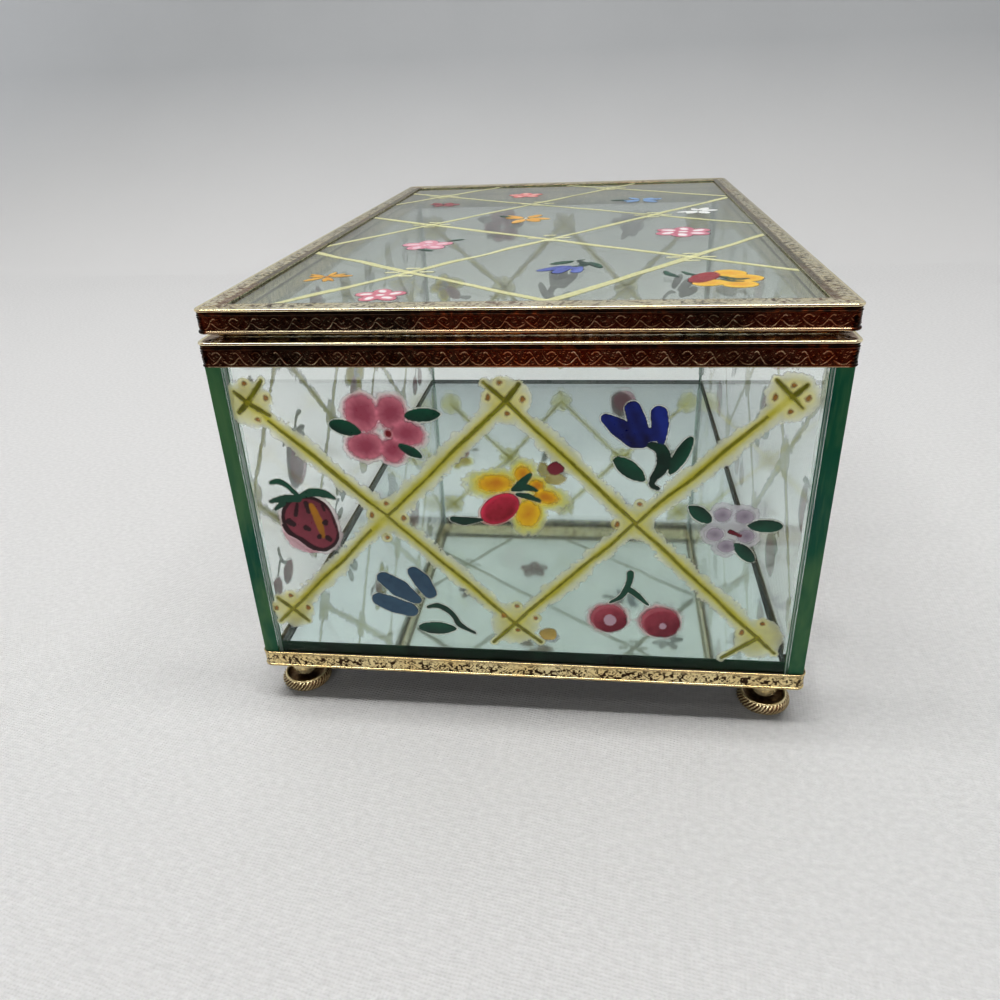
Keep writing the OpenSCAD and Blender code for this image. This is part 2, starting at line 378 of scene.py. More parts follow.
def card():
    m, nt, p = new_mat("card_dark")
    v = coords(nt)
    n = noise(nt, v, 700, 4, 0.7)
    f = noise(nt, coords(nt, (1, 6, 1)), 900, 2)
    c = ramp(nt, n, [(0.3, (0.055, 0.045, 0.035)), (0.7, (0.10, 0.08, 0.062))])
    c = mix(nt, grey(nt, f, [(0.5, 0), (0.8, 0.4)]), c, (0.14, 0.12, 0.1))
    nt.links.new(c, p.inputs["Base Color"])
    p.inputs["Roughness"].default_value = 0.9
    bump(nt, p, f, 0.4, 0.00005)
    return m


CARD = card()


def adhesive():
    m, nt, p = new_mat("clear_adhesive")
    n = noise(nt, coords(nt, (1, 1, 0.3)), 500, 3)
    nt.links.new(ramp(nt, n, [(0.3, (0.80, 0.90, 0.86)), (0.7, (0.93, 0.97, 0.95))]), p.inputs["Base Color"])
    nt.links.new(grey(nt, n, [(0.3, 0.08), (0.8, 0.3)]), p.inputs["Roughness"])
    p.inputs["IOR"].default_value = 1.47
    p.inputs["Transmission Weight"].default_value = 0.85
    return m


ADHESIVE = adhesive()


# ---------------------------------------------------------------- stamped vine
def polyline_dist(px, py, pts):
    d = np.full(px.shape, 1e9)
    for (x0, y0), (x1, y1) in zip(pts[:-1], pts[1:]):
        vx, vy = x1 - x0, y1 - y0
        L = vx * vx + vy * vy + 1e-12
        t = np.clip(((px - x0) * vx + (py - y0) * vy) / L, 0, 1)
        d = np.minimum(d, np.hypot(px - x0 - t * vx, py - y0 - t * vy))
    return d


def arc(cx, cy, r0, r1, a0, a1, n=14):
    return [(cx + (r0 + (r1 - r0) * k / n) * math.cos(math.radians(a0 + (a1 - a0) * k / n)),
             cy + (r0 + (r1 - r0) * k / n) * math.sin(math.radians(a0 + (a1 - a0) * k / n))) for k in range(n + 1)]


def vine_tile(period=7.5, height=2.1, res=0.02):
    """One repeat of the stamped running vine: slanted S stems, curled
    tendrils and small hooked leaves, as ridge height 0 to 1."""
    na, nb = int(period / res), int(height / res)
    A, B = np.meshgrid((np.arange(na) + 0.5) * res, (np.arange(nb) + 0.5) * res, indexing="ij")
    h = height
    lines = [
        # long rising stem with a hooked tip
        ([(0.15, 0.22), (0.5, 0.36), (0.95, 0.82), (1.35, 1.35), (1.75, 1.74), (2.1, 1.86), (2.32, 1.72)], 0.065, 1.0),
        # stem falling into the low arc and its curl
        ([(1.5, 1.15), (1.85, 0.98), (2.25, 0.62), (2.7, 0.32), (3.25, 0.22), (3.85, 0.34), (4.35, 0.62)], 0.065, 1.0),
        (arc(4.4, 0.98, 0.34, 0.12, -80, 200), 0.05, 0.7),
        # cap arc at the top
        ([(4.95, 1.5), (5.25, 1.78), (5.7, 1.88), (6.15, 1.8), (6.45, 1.58)], 0.075, 0.9),
        # stem falling from it
        ([(4.7, 1.38), (5.15, 1.05), (5.6, 0.7), (6.1, 0.42), (6.6, 0.24)], 0.06, 0.85),
        ([(6.3, 0.7), (6.7, 0.95), (7.0, 1.35), (7.3, 1.7)], 0.05, 0.65),
        # curls
        (arc(0.62, 1.42, 0.33, 0.1, -60, 250), 0.05, 0.75),
        (arc(3.05, 1.2, 0.36, 0.12, 220, -100), 0.05, 0.75),
        (arc(1.5, 0.42, 0.22, 0.08, 60, 360), 0.045, 0.6),
        (arc(5.6, 1.32, 0.2, 0.07, 0, 300), 0.045, 0.55),
        (arc(6.95, 1.78, 0.22, 0.08, 180, -90), 0.045, 0.55),
        (arc(3.75, 1.72, 0.24, 0.08, 150, -130), 0.045, 0.6),
        # ticks
        ([(2.7, 1.82), (2.95, 1.7)], 0.05, 0.7),
        ([(2.45, 1.35), (2.62, 1.2)], 0.045, 0.55),
        ([(5.1, 0.28), (5.4, 0.2)], 0.05, 0.6),
        ([(7.15, 0.9), (7.32, 0.72)], 0.045, 0.55),
    ]
    out = np.zeros_like(A)
    for pts, w, k in lines:
        for shift in (-period, 0, period):
            q = [(x + shift, y * h / 2.1) for x, y in pts]
            if max(x for x, _ in q) < -0.4 or min(x for x, _ in q) > period + 0.4:
                continue
            d = polyline_dist(A, B, q)
            out = np.maximum(out, k * np.exp(-(d / (w * 1.1)) ** 2 * 0.7))
    for cx, cy in ((0.62, 1.42), (3.05, 1.2), (4.4, 0.98), (1.0, 1.9), (2.15, 0.25), (3.4, 0.7), (6.2, 1.15), (6.75, 0.5), (4.3, 1.72), (7.3, 0.3)):
        d = np.hypot(A - cx, B - cy * h / 2.1)
        out = np.maximum(out, 0.6 * np.exp(-(d / 0.12) ** 2))
    return out


TILE = vine_tile()
TILE_A, TILE_B = 7.5, 2.1


def vine(a, b, height):
    """Ridge height at a along the strip and b (0..height) across its field."""
    na, nb = TILE.shape
    x = (a % TILE_A) / TILE_A * na - 0.5
    y = np.clip(b / height, 0, 1) * nb - 0.5
    x0, y0 = np.floor(x).astype(int), np.floor(y).astype(int)
    fx, fy = x - x0, y - y0
    y0c, y1c = np.clip(y0, 0, nb - 1), np.clip(y0 + 1, 0, nb - 1)
    x0c, x1c = x0 % na, (x0 + 1) % na
    return ((TILE[x0c, y0c] * (1 - fx) + TILE[x1c, y0c] * fx) * (1 - fy)
            + (TILE[x0c, y1c] * (1 - fx) + TILE[x1c, y1c] * fx) * fy)


# ---------------------------------------------------------------- bent strips
def path_samples(hw, hd, r, step_front, step_side, arc_n):
    """Samples round a rounded rectangle, anticlockwise seen from above:
    unit corner weights (ax, ay), outward normal, length along, side."""
    ax, ay, nx, ny, s, side = [], [], [], [], [], []
    run = 0.0
    spec = [((0, -1), (1, 0), hw, step_front), ((1, 0), (0, 1), hd, step_side),
            ((0, 1), (-1, 0), hw, step_side), ((-1, 0), (0, -1), hd, step_side)]
    for k, (n, t, half, step) in enumerate(spec):
        L = 2 * (half - r)
        m = max(8, int(round(L / step)))
        for i in range(m):
            f = -1 + 2 * i / m
            ax.append(n[0] + t[0] * f)
            ay.append(n[1] + t[1] * f)
            nx.append(n[0])
            ny.append(n[1])
            s.append(run + L * i / m)
            side.append(k)
        run += L
        a0 = math.atan2(n[1], n[0])
        for i in range(arc_n):
            a = a0 + math.pi / 2 * i / arc_n
            ax.append(n[0] + t[0])
            ay.append(n[1] + t[1])
            nx.append(math.cos(a))
            ny.append(math.sin(a))
            s.append(run + r * math.pi / 2 * i / arc_n)
            side.append(k + 0.5)
        run += r * math.pi / 2
    return [np.array(q) for q in (ax, ay, nx, ny, s, side)] + [run]


def sweep(name, hw, hd, yc, r, prof, shape, mats, step_front, step_side, arc_n=9, rmin=0.07, extra=None):
    """prof: closed loop of (u, z) in mm, u inwards from the outer face.
    shape(s, pos, u, z, side) -> du, dz, patina arrays."""
    ax, ay, nx, ny, s, side, total = path_samples(hw, hd, r, step_front, step_side, arc_n)
    n, m = len(ax), len(prof)
    U = np.repeat(np.array([q[0] for q in prof])[None, :], n, 0)
    Z = np.repeat(np.array([q[1] for q in prof])[None, :], n, 0)
    ru = np.maximum(r - U, rmin)
    X = (hw - U - ru) * ax[:, None] + ru * nx[:, None]
    Y = (hd - U - ru) * ay[:, None] + ru * ny[:, None]
    S = np.repeat(s[:, None], m, 1)
    SD = np.repeat(side[:, None], m, 1)
    du, dz, patina_and_shade = shape(S, X, Y, U, Z, SD, total)
    U2 = U - du
    ru = np.maximum(r - U2, rmin)
    X = (hw - U2 - ru) * ax[:, None] + ru * nx[:, None]
    Y = (hd - U2 - ru) * ay[:, None] + ru * ny[:, None] + yc
    Z2 = Z + dz
    verts = np.stack([X.ravel(), Y.ravel(), Z2.ravel()], 1)
    i = np.arange(n)[:, None]
    j = np.arange(m)[None, :]
    a = (i * m + j).ravel()
    b = (((i + 1) % n) * m + j).ravel()
    c = (((i + 1) % n) * m + (j + 1) % m).ravel()
    d = (i * m + (j + 1) % m).ravel()
    return mesh_from(name, verts, [np.stack([a, b, c, d], 1)], mats, attrs={"patina_and_shade": np.clip(patina_and_shade, 0, 1.7).ravel()})


def bead(zc, uc, r, a0, a1, n=7):
    """Half-round bead: angles in degrees, 0 points outwards (u falls)."""
    return [(uc - r * math.cos(math.radians(a0 + (a1 - a0) * k / (n - 1))),
             zc + r * math.sin(math.radians(a0 + (a1 - a0) * k / (n - 1)))) for k in range(n)]


SF, SS = ((0.11, 0.18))


def seam(X, Y, hw, hd, width=0.16):
    """0..1, strongest along the mitre that runs in from each corner."""
    d = np.abs((hw - np.abs(X)) - (hd - np.abs(Y)))
    return np.exp(-(d / width) ** 2)


def strip_shape(z_lo, z_hi, cove_lo, cove_hi, z_flat, flange_u, hw, hd, kind, seed):
    """Relief of a strip: vine between z_lo and z_hi on the face, smooth cove
    above it, vine on the top flange (z_flat) out to flange_u."""
    def shape(S, X, Y, U, Z, SD, total):
        reps = round(total / TILE_A)
        a = S * (reps * TILE_A / total)
        du = np.zeros_like(U)
        dz = np.zeros_like(U)
        # lid and rim faces start well stained (0.62): stain, and a painted dark reflection of the surroundings
        pat = np.where(Z > cove_hi, 0.04, 0.3 if kind == "base" else 0.62)
        face = (U < 0.38) & (Z > z_lo - 1e-6) & (Z < z_hi + 1e-6)
        wear = fbm(S * 0.12, Z * 0.3, seed, 3)
        v = vine(-a if kind == "rim" else a, Z - z_lo, z_hi - z_lo)
        fade = sstep(0, 0.12, Z - z_lo) * sstep(0, 0.12, z_hi - Z)
        peb = fbm(a * 4.0, Z * 4.0, seed + 5, 2) - 0.5
        h = v * (0.75 + 0.5 * wear)
        if kind == "base":
            h = v * 0.8
        relief = (0.125 * h + 0.02 * peb) * fade
        du = np.where(face, relief, du)
        if kind == "base":
            # bright face, dirt caught round the scrolls, and darker towards the bottom
            low = sstep(z_hi, z_lo, Z) * 0.8 + 0.45
            some = sstep(0.30, 0.62, fbm(S * 0.75, Z * 0.9, seed + 3, 3))
            dirt = sstep(0.12, 0.32, v) * sstep(0.98, 0.6, v) * low * (0.25 + 1.2 * some)
            pits = sstep(0.58, 0.66, fbm(S * 1.9, Z * 2.1, seed + 9, 2)) * low * 1.3
            pat = np.where(face, np.minimum(0.05 + np.maximum(dirt, pits) * 1.25, 1.25), pat)
        else:
            # the vine crests are left bright in broken runs: painted glints on the darkened face
            show = sstep(0.32, 0.62, fbm(S * 0.33, Z * 0.4, seed + 31, 3))
            glint = 0.25 + 0.75 * sstep(0.40, 0.58, fbm(S * 1.05 + 9, Z * 1.2, seed + 37, 2))
            pat = np.where(face, 0.97 - 0.97 * sstep(0.62, 0.95, h) * (0.3 + 0.85 * show) * glint, pat)
        # on the lid and rim the cove is painted near black (1.5): painted shade in the hollow
        cove = (U < 0.38) & (Z > cove_lo - 0.13) & (Z < cove_hi + (0.07 if kind != "base" else 0))
        pat = np.where(cove, 1.5 if kind != "base" else 0.3, pat)
        # the inside of the strip: stained, with the relief's dents
        inside = (U > 0.44) & (Z < z_flat - 0.03) if kind != "base" else (U > 0.44)
        stain = sstep(0.40, 0.62, fbm(S * 1.3 + 3, (U + Z) * 1.7, seed + 17, 3))
        pat = np.where(inside, 0.12 + 0.85 * stain, pat)
        if kind != "base":
            # the lips that show from inside the box are rubbed bright between dark grains
            lips = inside & (U > 3.4)
            pat = np.where(lips, 0.04 + 0.6 * sstep(0.52, 0.66, fbm(S * 2.7, (U + Z) * 2.7, seed + 29, 2)), pat)
        if kind == "base":
            # the upright inside face is bright and grainy, dark at its two edges
            grain = sstep(0.50, 0.62, fbm(S * 3.1, Z * 3.1, seed + 23, 2))
            pat = np.where(inside & (U < 0.6), 0.03 + 0.75 * grain, pat)
        dent = (fbm(S * 1.9, (U + Z) * 1.9, seed + 19, 2) - 0.5) * 0.09
        du = np.where(inside & (U > 4.2), dent, du)
        dz = np.where(inside & (U > 0.7) & (U < 4.1) & (kind != "base"), dent * 0.8, dz)
        # top flange
        top = (np.abs(Z - z_flat) < 1e-6) & (U > 0.55) & (U < flange_u)
        along = np.where(np.abs(hw - np.abs(X)) < np.abs(hd - np.abs(Y)), Y * 1.0, X * 1.0)
        vt = vine(along + 3.1, U - 0.6, flange_u - 0.6)
        pebt = fbm(along * 3.0, U * 3.0, seed + 7, 2) - 0.5
        sm = seam(X, Y, hw, hd)
        ft = sstep(0.55, 0.8, U) * sstep(flange_u, flange_u - 0.3, U) * (1 - sstep(0.1, 0.6, sm))
        dz = np.where(top, np.clip((0.075 * vt + 0.10 * pebt) * ft, -0.06, 0.078) - 0.09 * sm, dz)
        dark = sstep(0.15, 0.4, vt) * sstep(0.95, 0.55, vt) * (0.1 + 1.3 * sstep(0.35, 0.65, fbm(along * 0.35, U * 0.6, seed + 11, 3)))
        pt = 0.6 * dark + 0.75 * sstep(0.60, 0.70, fbm(along * 1.5, U * 1.3, seed + 13, 3))
        if kind == "rim":
            pt = 0.8 + 0.3 * pebt
        pat = np.where(top, np.clip(np.maximum(pt * ft, sm * 0.95), 0, 1), pat)
        # grooves beside the beads are painted near black: painted shade in the crease
        groove = (U > 0.2) & (U < 0.40) & ((np.abs(Z - z_lo) < 0.06) | (np.abs(Z - cove_hi) < 0.14)) & ~top
        pat = np.where(groove, 0.9 if kind == "base" else 1.4, pat)
        if kind == "lid":
            # the flange's inner edge turns down to the glass and is painted dark, except in front: a painted shadow and
            # reflection along the glass
            lip = (np.abs(Z - z_flat) < 1e-6) & (U > flange_u - 1.6) & ~((np.abs(hd - np.abs(Y)) < np.abs(hw - np.abs(X))) & (Y < -20))
            ls = sstep(flange_u - 1.4, flange_u - 1.1, U + 0.16 * (fbm(along * 0.9, U * 0.3, seed + 43, 2) - 0.5))
            pat = np.where(lip, np.maximum(pat, 0.8 * ls), pat)
            dz = np.where(lip, dz - 0.12 * ls, dz)
        # the lid and rim faces are painted near black where they bend round the corners: painted shade where the strip
        # turns away
        if kind != "base":
            far = np.maximum(hw - np.abs(X), hd - np.abs(Y))
            corner = (U < 0.5) & (Z < cove_hi + 0.05)
            pat = np.where(corner, np.maximum(pat, 1.5 * sstep(2.6, 1.4, far + 1.0 * (fbm(S, Z, seed + 47, 2) - 0.5))), pat)
        return du, dz, pat
    return shape


def field(z0, z1, u, step=0.10):
    n = max(2, int(round((z1 - z0) / step)))
    return [(u, z0 + (z1 - z0) * k / n) for k in range(n + 1)]


def cove_pts(z0, z1, u_edge, u_deep, n=7):
    return [(u_edge + (u_deep - u_edge) * math.sin(math.pi * k / n) ** 0.8, z0 + (z1 - z0) * k / n) for k in range(1, n)]


def flange_pts(z, u0, u1, step=0.24):
    n = max(2, int(round((u1 - u0) / step)))
    return [(u0 + (u1 - u0) * k / n, z) for k in range(n + 1)]


def strip_profile(z0, z1, z_flat, flange_u, inner, plain=False):
    """Outer skin of a strip from its bottom edge up to the flange's edge, then
    the inner points that close it."""
    br = 0.3
    p = []
    h = z1 - z0
    if plain:                                                  # cut edge
        p += [(0.3, z0), (0.16, z0 + 0.03), (0.1, z0 + 0.12), (0.1, z0 + 0.22)]
        f0, f1 = z0 + 0.3, z1 - 0.3 * h
    else:
        p += bead(z0 + br, br, br, -90, 80, 8)                 # bottom bead
        p += [(0.27, z0 + 2 * br + 0.04)]
        f0, f1 = z0 + 2 * br + 0.12, z1 - 0.3 * h              # vine field
    p += field(f0, f1, 0.26)
    p += [(0.17, f1 + 0.06), (0.15, f1 + 0.12)]                # fine line
    c0, c1 = f1 + 0.12, z1 - 2 * br - 0.1
    p += cove_pts(c0, c1, 0.15, 0.30)
    p += [(0.33, c1), (0.36, c1 + 0.06)]                       # dark line
    p += bead(z1 - br, br, br, -80, 90, 9)                     # top bead
    p += [(0.42, z1 - 0.03), (0.52, z_flat - 0.02)]
    p += flange_pts(z_flat, 0.6, flange_u)
    p += inner
    return p, f0, f1, c0, c1


# ---- lid frame: face, top flange, lower flange with its rest bead
z0, z1 = 82.2, 86.7
inner = [(4.4, 86.36), (4.36, 86.12), (4.2, 86.10), (2.5, 86.10), (0.62, 86.10), (0.47, 85.95),
         (0.47, 84.5), (0.47, 83.1), (0.6, 82.93), (2.2, 82.93), (3.9, 82.93), (4.0, 82.85), (4.0, 82.5), (4.0, 81.75)]
inner += [(3.5 + 0.5 * math.cos(math.radians(a)), 81.43 + 0.5 * math.sin(math.radians(a))) for a in (0, -35, -70, -110, -145, -180)]
inner += [(3.0, 81.65), (3.0, 82.3), (2.9, 82.42), (1.6, 82.42), (0.7, 82.4), (0.45, 82.26)]
prof, f0, f1, c0, c1 = strip_profile(z0, z1, 86.62, 4.4, inner)
lid_frame = sweep("lid_frame_stamped", LHW, LHD, LYC, 1.8, prof,
                  strip_shape(f0, f1, c0, c1, 86.62, 4.4, LHW, LHD, "lid", 3), [FRAME], SF, SS)
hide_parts("lid_frame")
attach(lid_frame, "lid")

# ---- rim frame: face, top flange and inner lip
z0, z1 = 76.3, 80.9
inner = [(4.4, 80.6), (4.4, 79.4), (4.38, 78.4), (4.15, 78.28), (3.93, 78.4), (3.9, 79.4), (3.9, 80.2), (3.75, 80.32),
         (2.3, 80.32), (0.7, 80.32), (0.47, 80.15), (0.47, 79.0), (0.47, 77.6), (0.47, 77.0)]
prof, f0, f1, c0, c1 = strip_profile(z0, z1, 80.82, 4.4, inner, plain=True)
rim_frame = sweep("rim_frame_stamped", HW, HD, YC, 1.8, prof,
                  strip_shape(f0, f1, c0, c1, 80.82, 4.4, HW, HD, "rim", 23), [FRAME], SF, SS)
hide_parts("rim_frame")
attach(rim_frame, "case")

# ---- base frame: face and wide bottom flange
z0, z1 = 8.6, 12.4
br = 0.3
prof = [(0.6, z0 + 0.02)] + bead(z0 + br, br, br, -85, 80, 8) + [(0.24, z0 + 0.64)]
f0, f1 = z0 + 0.7, z1 - 0.62
prof += field(f0, f1, 0.2)
prof += [(0.26, f1 + 0.05)] + bead(z1 - br, br, br, -75, 95, 9)
prof += [(0.42, z1 - 0.05), (0.47, z1 - 0.3), (0.47, 11.0), (0.47, 9.6), (0.55, 9.22)]
prof += [(2.5, 9.2), (5.0, 9.2), (7.5, 9.2), (9.1, 9.2), (9.2, 9.1), (9.2, 8.7), (9.1, 8.6),
         (7.5, 8.6), (5.5, 8.6), (3.0, 8.6), (1.2, 8.6)]
base_frame = sweep("base_frame_stamped", HW, HD, YC, 1.8, prof,
                   strip_shape(f0, f1, z1, z1, -99, 0, HW, HD, "base", 41), [BASE], SF, SS)
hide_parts("base_frame")
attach(base_frame, "case")


# ---------------------------------------------------------------- glass
def slab(name, lo, hi, thin, mats, bevel=0.28, seg=2, glued=0):
    """Plate of glass with arrised edges; thin is its thickness axis. Its two
    faces take the first material and its edges the second."""
    import bmesh
    bm = bmesh.new()
    bmesh.ops.create_cube(bm, size=1.0)
    lo, hi = Vector(lo) * MM, Vector(hi) * MM
    for v in bm.verts:
        v.co = Vector([lo[k] + (v.co[k] + 0.5) * (hi[k] - lo[k]) for k in range(3)])
    bmesh.ops.bevel(bm, geom=list(bm.edges), offset=bevel * MM, segments=seg, profile=0.5, affect="EDGES")
    for f in bm.faces:
        f.material_index = 0 if abs(f.normal[thin]) > 0.97 else 1
        if len(mats) > 2 and abs(f.normal[glued]) > 0.9:
            f.material_index = 2
        f.smooth = False
    me = bpy.data.meshes.new(name)
    bm.to_mesh(me)
    bm.free()
    for m in mats:
        me.materials.append(m)
    ob = bpy.data.objects.new(name, me)
    scene.collection.objects.link(ob)
    ob.visible_shadow = False
    ob.visible_diffuse = False
    return ob


panes = {}
for nm, lo, hi, thin, body in (
        ("front_pane", (-53.15, YC - GY - GT, Z_BED), (53.15, YC - GY, Z_GLASS), 1, "case"),
        ("back_pane", (-53.15, YC + GY, Z_BED), (53.15, YC + GY + GT, Z_GLASS), 1, "case"),
        ("left_pane", (-GX - GT, YC - GY - GT, Z_BED), (-GX, YC + GY + GT, Z_GLASS), 0, "case"),
        ("right_pane", (GX, YC - GY - GT, Z_BED), (GX + GT, YC + GY + GT, Z_GLASS), 0, "case"),
        ("lid_pane", (-56.07, LYC - 89.07, PANE_LO), (56.07, LYC + 89.07, PANE_HI), 2, "lid")):
    o = slab(nm + "_glass", lo, hi, thin, [CLEAR, EDGE, JOINT] if thin == 1 else [LCLEAR if nm == "lid_pane" else CLEAR, EDGE])
    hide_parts(nm)
    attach(o, body)
    panes[nm] = o

mglass = slab("mirror_plate", (-53.12, YC - 86.12, Z_CARD + 0.14), (53.12, YC + 86.12, Z_MIRROR), 2, [MCLEAR, MEDGE], 0.22)
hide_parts("mirror_floor")
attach(mglass, "case")


def silvering():
    """Thin silvered coat under the mirror plate: bright above, paint below."""
    import bmesh
    bm = bmesh.new()
    bmesh.ops.create_cube(bm, size=1.0)
    lo = Vector((-52.9, YC - 85.9, Z_CARD + 0.02)) * MM
    hi = Vector((52.9, YC + 85.9, Z_CARD + 0.12)) * MM
    for v in bm.verts:
        v.co = Vector([lo[k] + (v.co[k] + 0.5) * (hi[k] - lo[k]) for k in range(3)])
    bmesh.ops.bevel(bm, geom=list(bm.edges), offset=0.03 * MM, segments=1, affect="EDGES")
    for f in bm.faces:
        f.material_index = 0 if f.normal.z > 0.9 else 1
    me = bpy.data.meshes.new("mirror_silvering")
    bm.to_mesh(me)
    bm.free()
    me.materials.append(SILVER)
    me.materials.append(BACKING)
    ob = bpy.data.objects.new("mirror_silvering", me)
    scene.collection.objects.link(ob)
    return ob


sil = silvering()
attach(sil, "case")


# ---------------------------------------------------------------- painting
class Canvas:
    """Colours, cover and thickness of paint at a set of points (mm)."""

    def __init__(self, U, V, layer):
        self.U, self.V, self.layer = U, V, layer
        n = len(U)
        self.C = np.zeros((n, 3))
        self.A = np.zeros(n)
        self.H = np.zeros(n)

    def near(self, x, y, r, rot=0.0, k=1.0, flip=1):
        idx = np.nonzero((np.abs(self.U - x) < r) & (np.abs(self.V - y) < r))[0]
        dx, dy = (self.U[idx] - x) * flip / k, (self.V[idx] - y) / k
        c, s = math.cos(math.radians(rot)), math.sin(math.radians(rot))
        return idx, c * dx + s * dy, -s * dx + c * dy

    def put(self, idx, sd, rgb, soft=0.12, a=1.0, h=0.0):
        """Lay paint where sd < 0, over what is there already."""
        k = np.clip(0.5 - sd / soft, 0, 1)
        k = k * k * (3 - 2 * k) * a
        A0 = self.A[idx]
        out = k + A0 * (1 - k)
        w = np.where(out > 1e-6, k / np.maximum(out, 1e-6), 0)[:, None]
        self.C[idx] = self.C[idx] * (1 - w) + np.asarray(rgb) * w
        self.A[idx] = out
        self.H[idx] = np.maximum(self.H[idx] * (1 - 0.5 * k), h * k + 0 * k) if np.isscalar(h) else np.maximum(self.H[idx], h * k)


def ell(x, y, cx, cy, rx, ry, ang=0.0):
    c, s = math.cos(math.radians(ang)), math.sin(math.radians(ang))
    dx, dy = x - cx, y - cy
    p, q = (c * dx + s * dy) / rx, (-s * dx + c * dy) / ry
    k = np.hypot(p, q)
    return (k - 1) * min(rx, ry)


def leaf(x, y, cx, cy, L, W, ang=0.0, tip=1.0):
    """Leaf centred at (cx, cy), rounded at one end and pointed at the other."""
    c, s = math.cos(math.radians(ang)), math.sin(math.radians(ang))
    dx, dy = x - cx, y - cy
    p, q = (c * dx + s * dy) / (L / 2) * tip, -s * dx + c * dy
    t = np.clip(p, -1, 1)
    w = W / 2 * np.where(t < 0, (1 - t * t) ** 0.5, (1 - t) ** 0.8 * (1 + 0.8 * t))
    side = np.abs(q) - w
    end = (np.abs(p) - 1) * L / 2
    return np.where(np.abs(p) < 1, np.maximum(side, end * 0.6), np.hypot(np.maximum(end, 0), np.maximum(np.abs(q), 0)))


def stroke(x, y, pts, widths):
    """Signed distance to a brush stroke with a changing width."""
    best = np.full(x.shape, 1e9)
    n = len(pts)
    if np.isscalar(widths):
        widths = [widths] * n
    for k in range(n - 1):
        (x0, y0), (x1, y1) = pts[k], pts[k + 1]
        vx, vy = x1 - x0, y1 - y0
        L = vx * vx + vy * vy + 1e-12
        t = np.clip(((x - x0) * vx + (y - y0) * vy) / L, 0, 1)
        d = np.hypot(x - x0 - t * vx, y - y0 - t * vy) - (widths[k] * (1 - t) + widths[k + 1] * t) / 2
        best = np.minimum(best, d)
    return best


def curve(pts, n=6):
    """Catmull-Rom through the points."""
    p = [pts[0]] + list(pts) + [pts[-1]]
    out = []
    for k in range(1, len(p) - 2):
        for i in range(n):
            t = i / n
            out.append(tuple(0.5 * (2 * p[k][d] + (p[k + 1][d] - p[k - 1][d]) * t
                                    + (2 * p[k - 1][d] - 5 * p[k][d] + 4 * p[k + 1][d] - p[k + 2][d]) * t * t
                                    + (3 * p[k][d] - p[k - 1][d] - 3 * p[k + 1][d] + p[k + 2][d]) * t ** 3) for d in (0, 1)))
    out.append(tuple(pts[-1]))
    return out


def taper(n, *w):
    xs = np.linspace(0, 1, len(w))
    return list(np.interp(np.linspace(0, 1, n), xs, w))


GREEN_D = lin(8, 44, 34)
GREEN_L = lin(18, 84, 62)
PALE = lin(214, 214, 200)


class Motif:
    """Helper that draws one flower in its own coordinates on either layer."""

    def __init__(self, cv, x, y, rot=0, k=1.0, flip=1, seed=1, r=13, halo=1.0, fade=0.0):
        self.cv, self.k, self.halo, self.fade = cv, k, halo, fade
        self.idx, self.x, self.y = cv.near(x, y, r * k, rot, k, flip)
        self.n1 = fbm(self.x * 0.9 + seed * 7.1, self.y * 0.9, seed, 3) - 0.5 if len(self.idx) else self.x
        self.n2 = fbm(self.x * 3.1, self.y * 3.1 + seed * 3.3, seed + 50, 2) - 0.5 if len(self.idx) else self.x

    def solid(self, sd, rgb, soft=0.12, a=1.0, h=0.05, rough=0.18, grain=0.08):
        if self.cv.layer != "solid" or not len(self.idx):
            return
        self.cv.put(self.idx, sd + self.n1 * rough + self.n2 * grain, rgb, soft, a, h)

    def wash(self, sd, rgb, soft=0.5, a=0.5, rough=0.5):
        if self.cv.layer != "wash" or not len(self.idx):
            return
        self.cv.put(self.idx, sd + self.n1 * rough * 1.4 + self.n2 * rough * 0.6, rgb, soft, a * self.halo, 0.01)

    def grad(self, f, a, b):
        """Colour from a to b as f goes 0 to 1."""
        f = np.clip(f + self.n1 * 0.5, 0, 1)[:, None]
        return np.asarray(a) * (1 - f) + np.asarray(b) * f

    def leaf(self, cx, cy, L, W, ang, tip=1.0):
        sd = leaf(self.x, self.y, cx, cy, L, W, ang, tip)
        self.wash(sd - 0.28, PALE, 0.22, 0.75, 0.12)
        c = math.cos(math.radians(ang)), math.sin(math.radians(ang))
        q = -c[1] * (self.x - cx) + c[0] * (self.y - cy)
        self.solid(sd, self.grad(0.5 + q / W * 0.8, GREEN_D, GREEN_L), 0.1, 1, 0.07)

    def stem(self, pts, widths, rgb=None):
        pts = curve(pts)
        sd = stroke(self.x, self.y, pts, taper(len(pts), *widths))
        self.wash(sd - 0.22, PALE, 0.2, 0.6, 0.1)
        self.solid(sd, self.grad(0.4 + self.y * 0.05, GREEN_D, GREEN_L) if rgb is None else rgb, 0.1, 1, 0.06)


ROSE, ROSE_D = lin(218, 130, 147), lin(166, 68, 92)


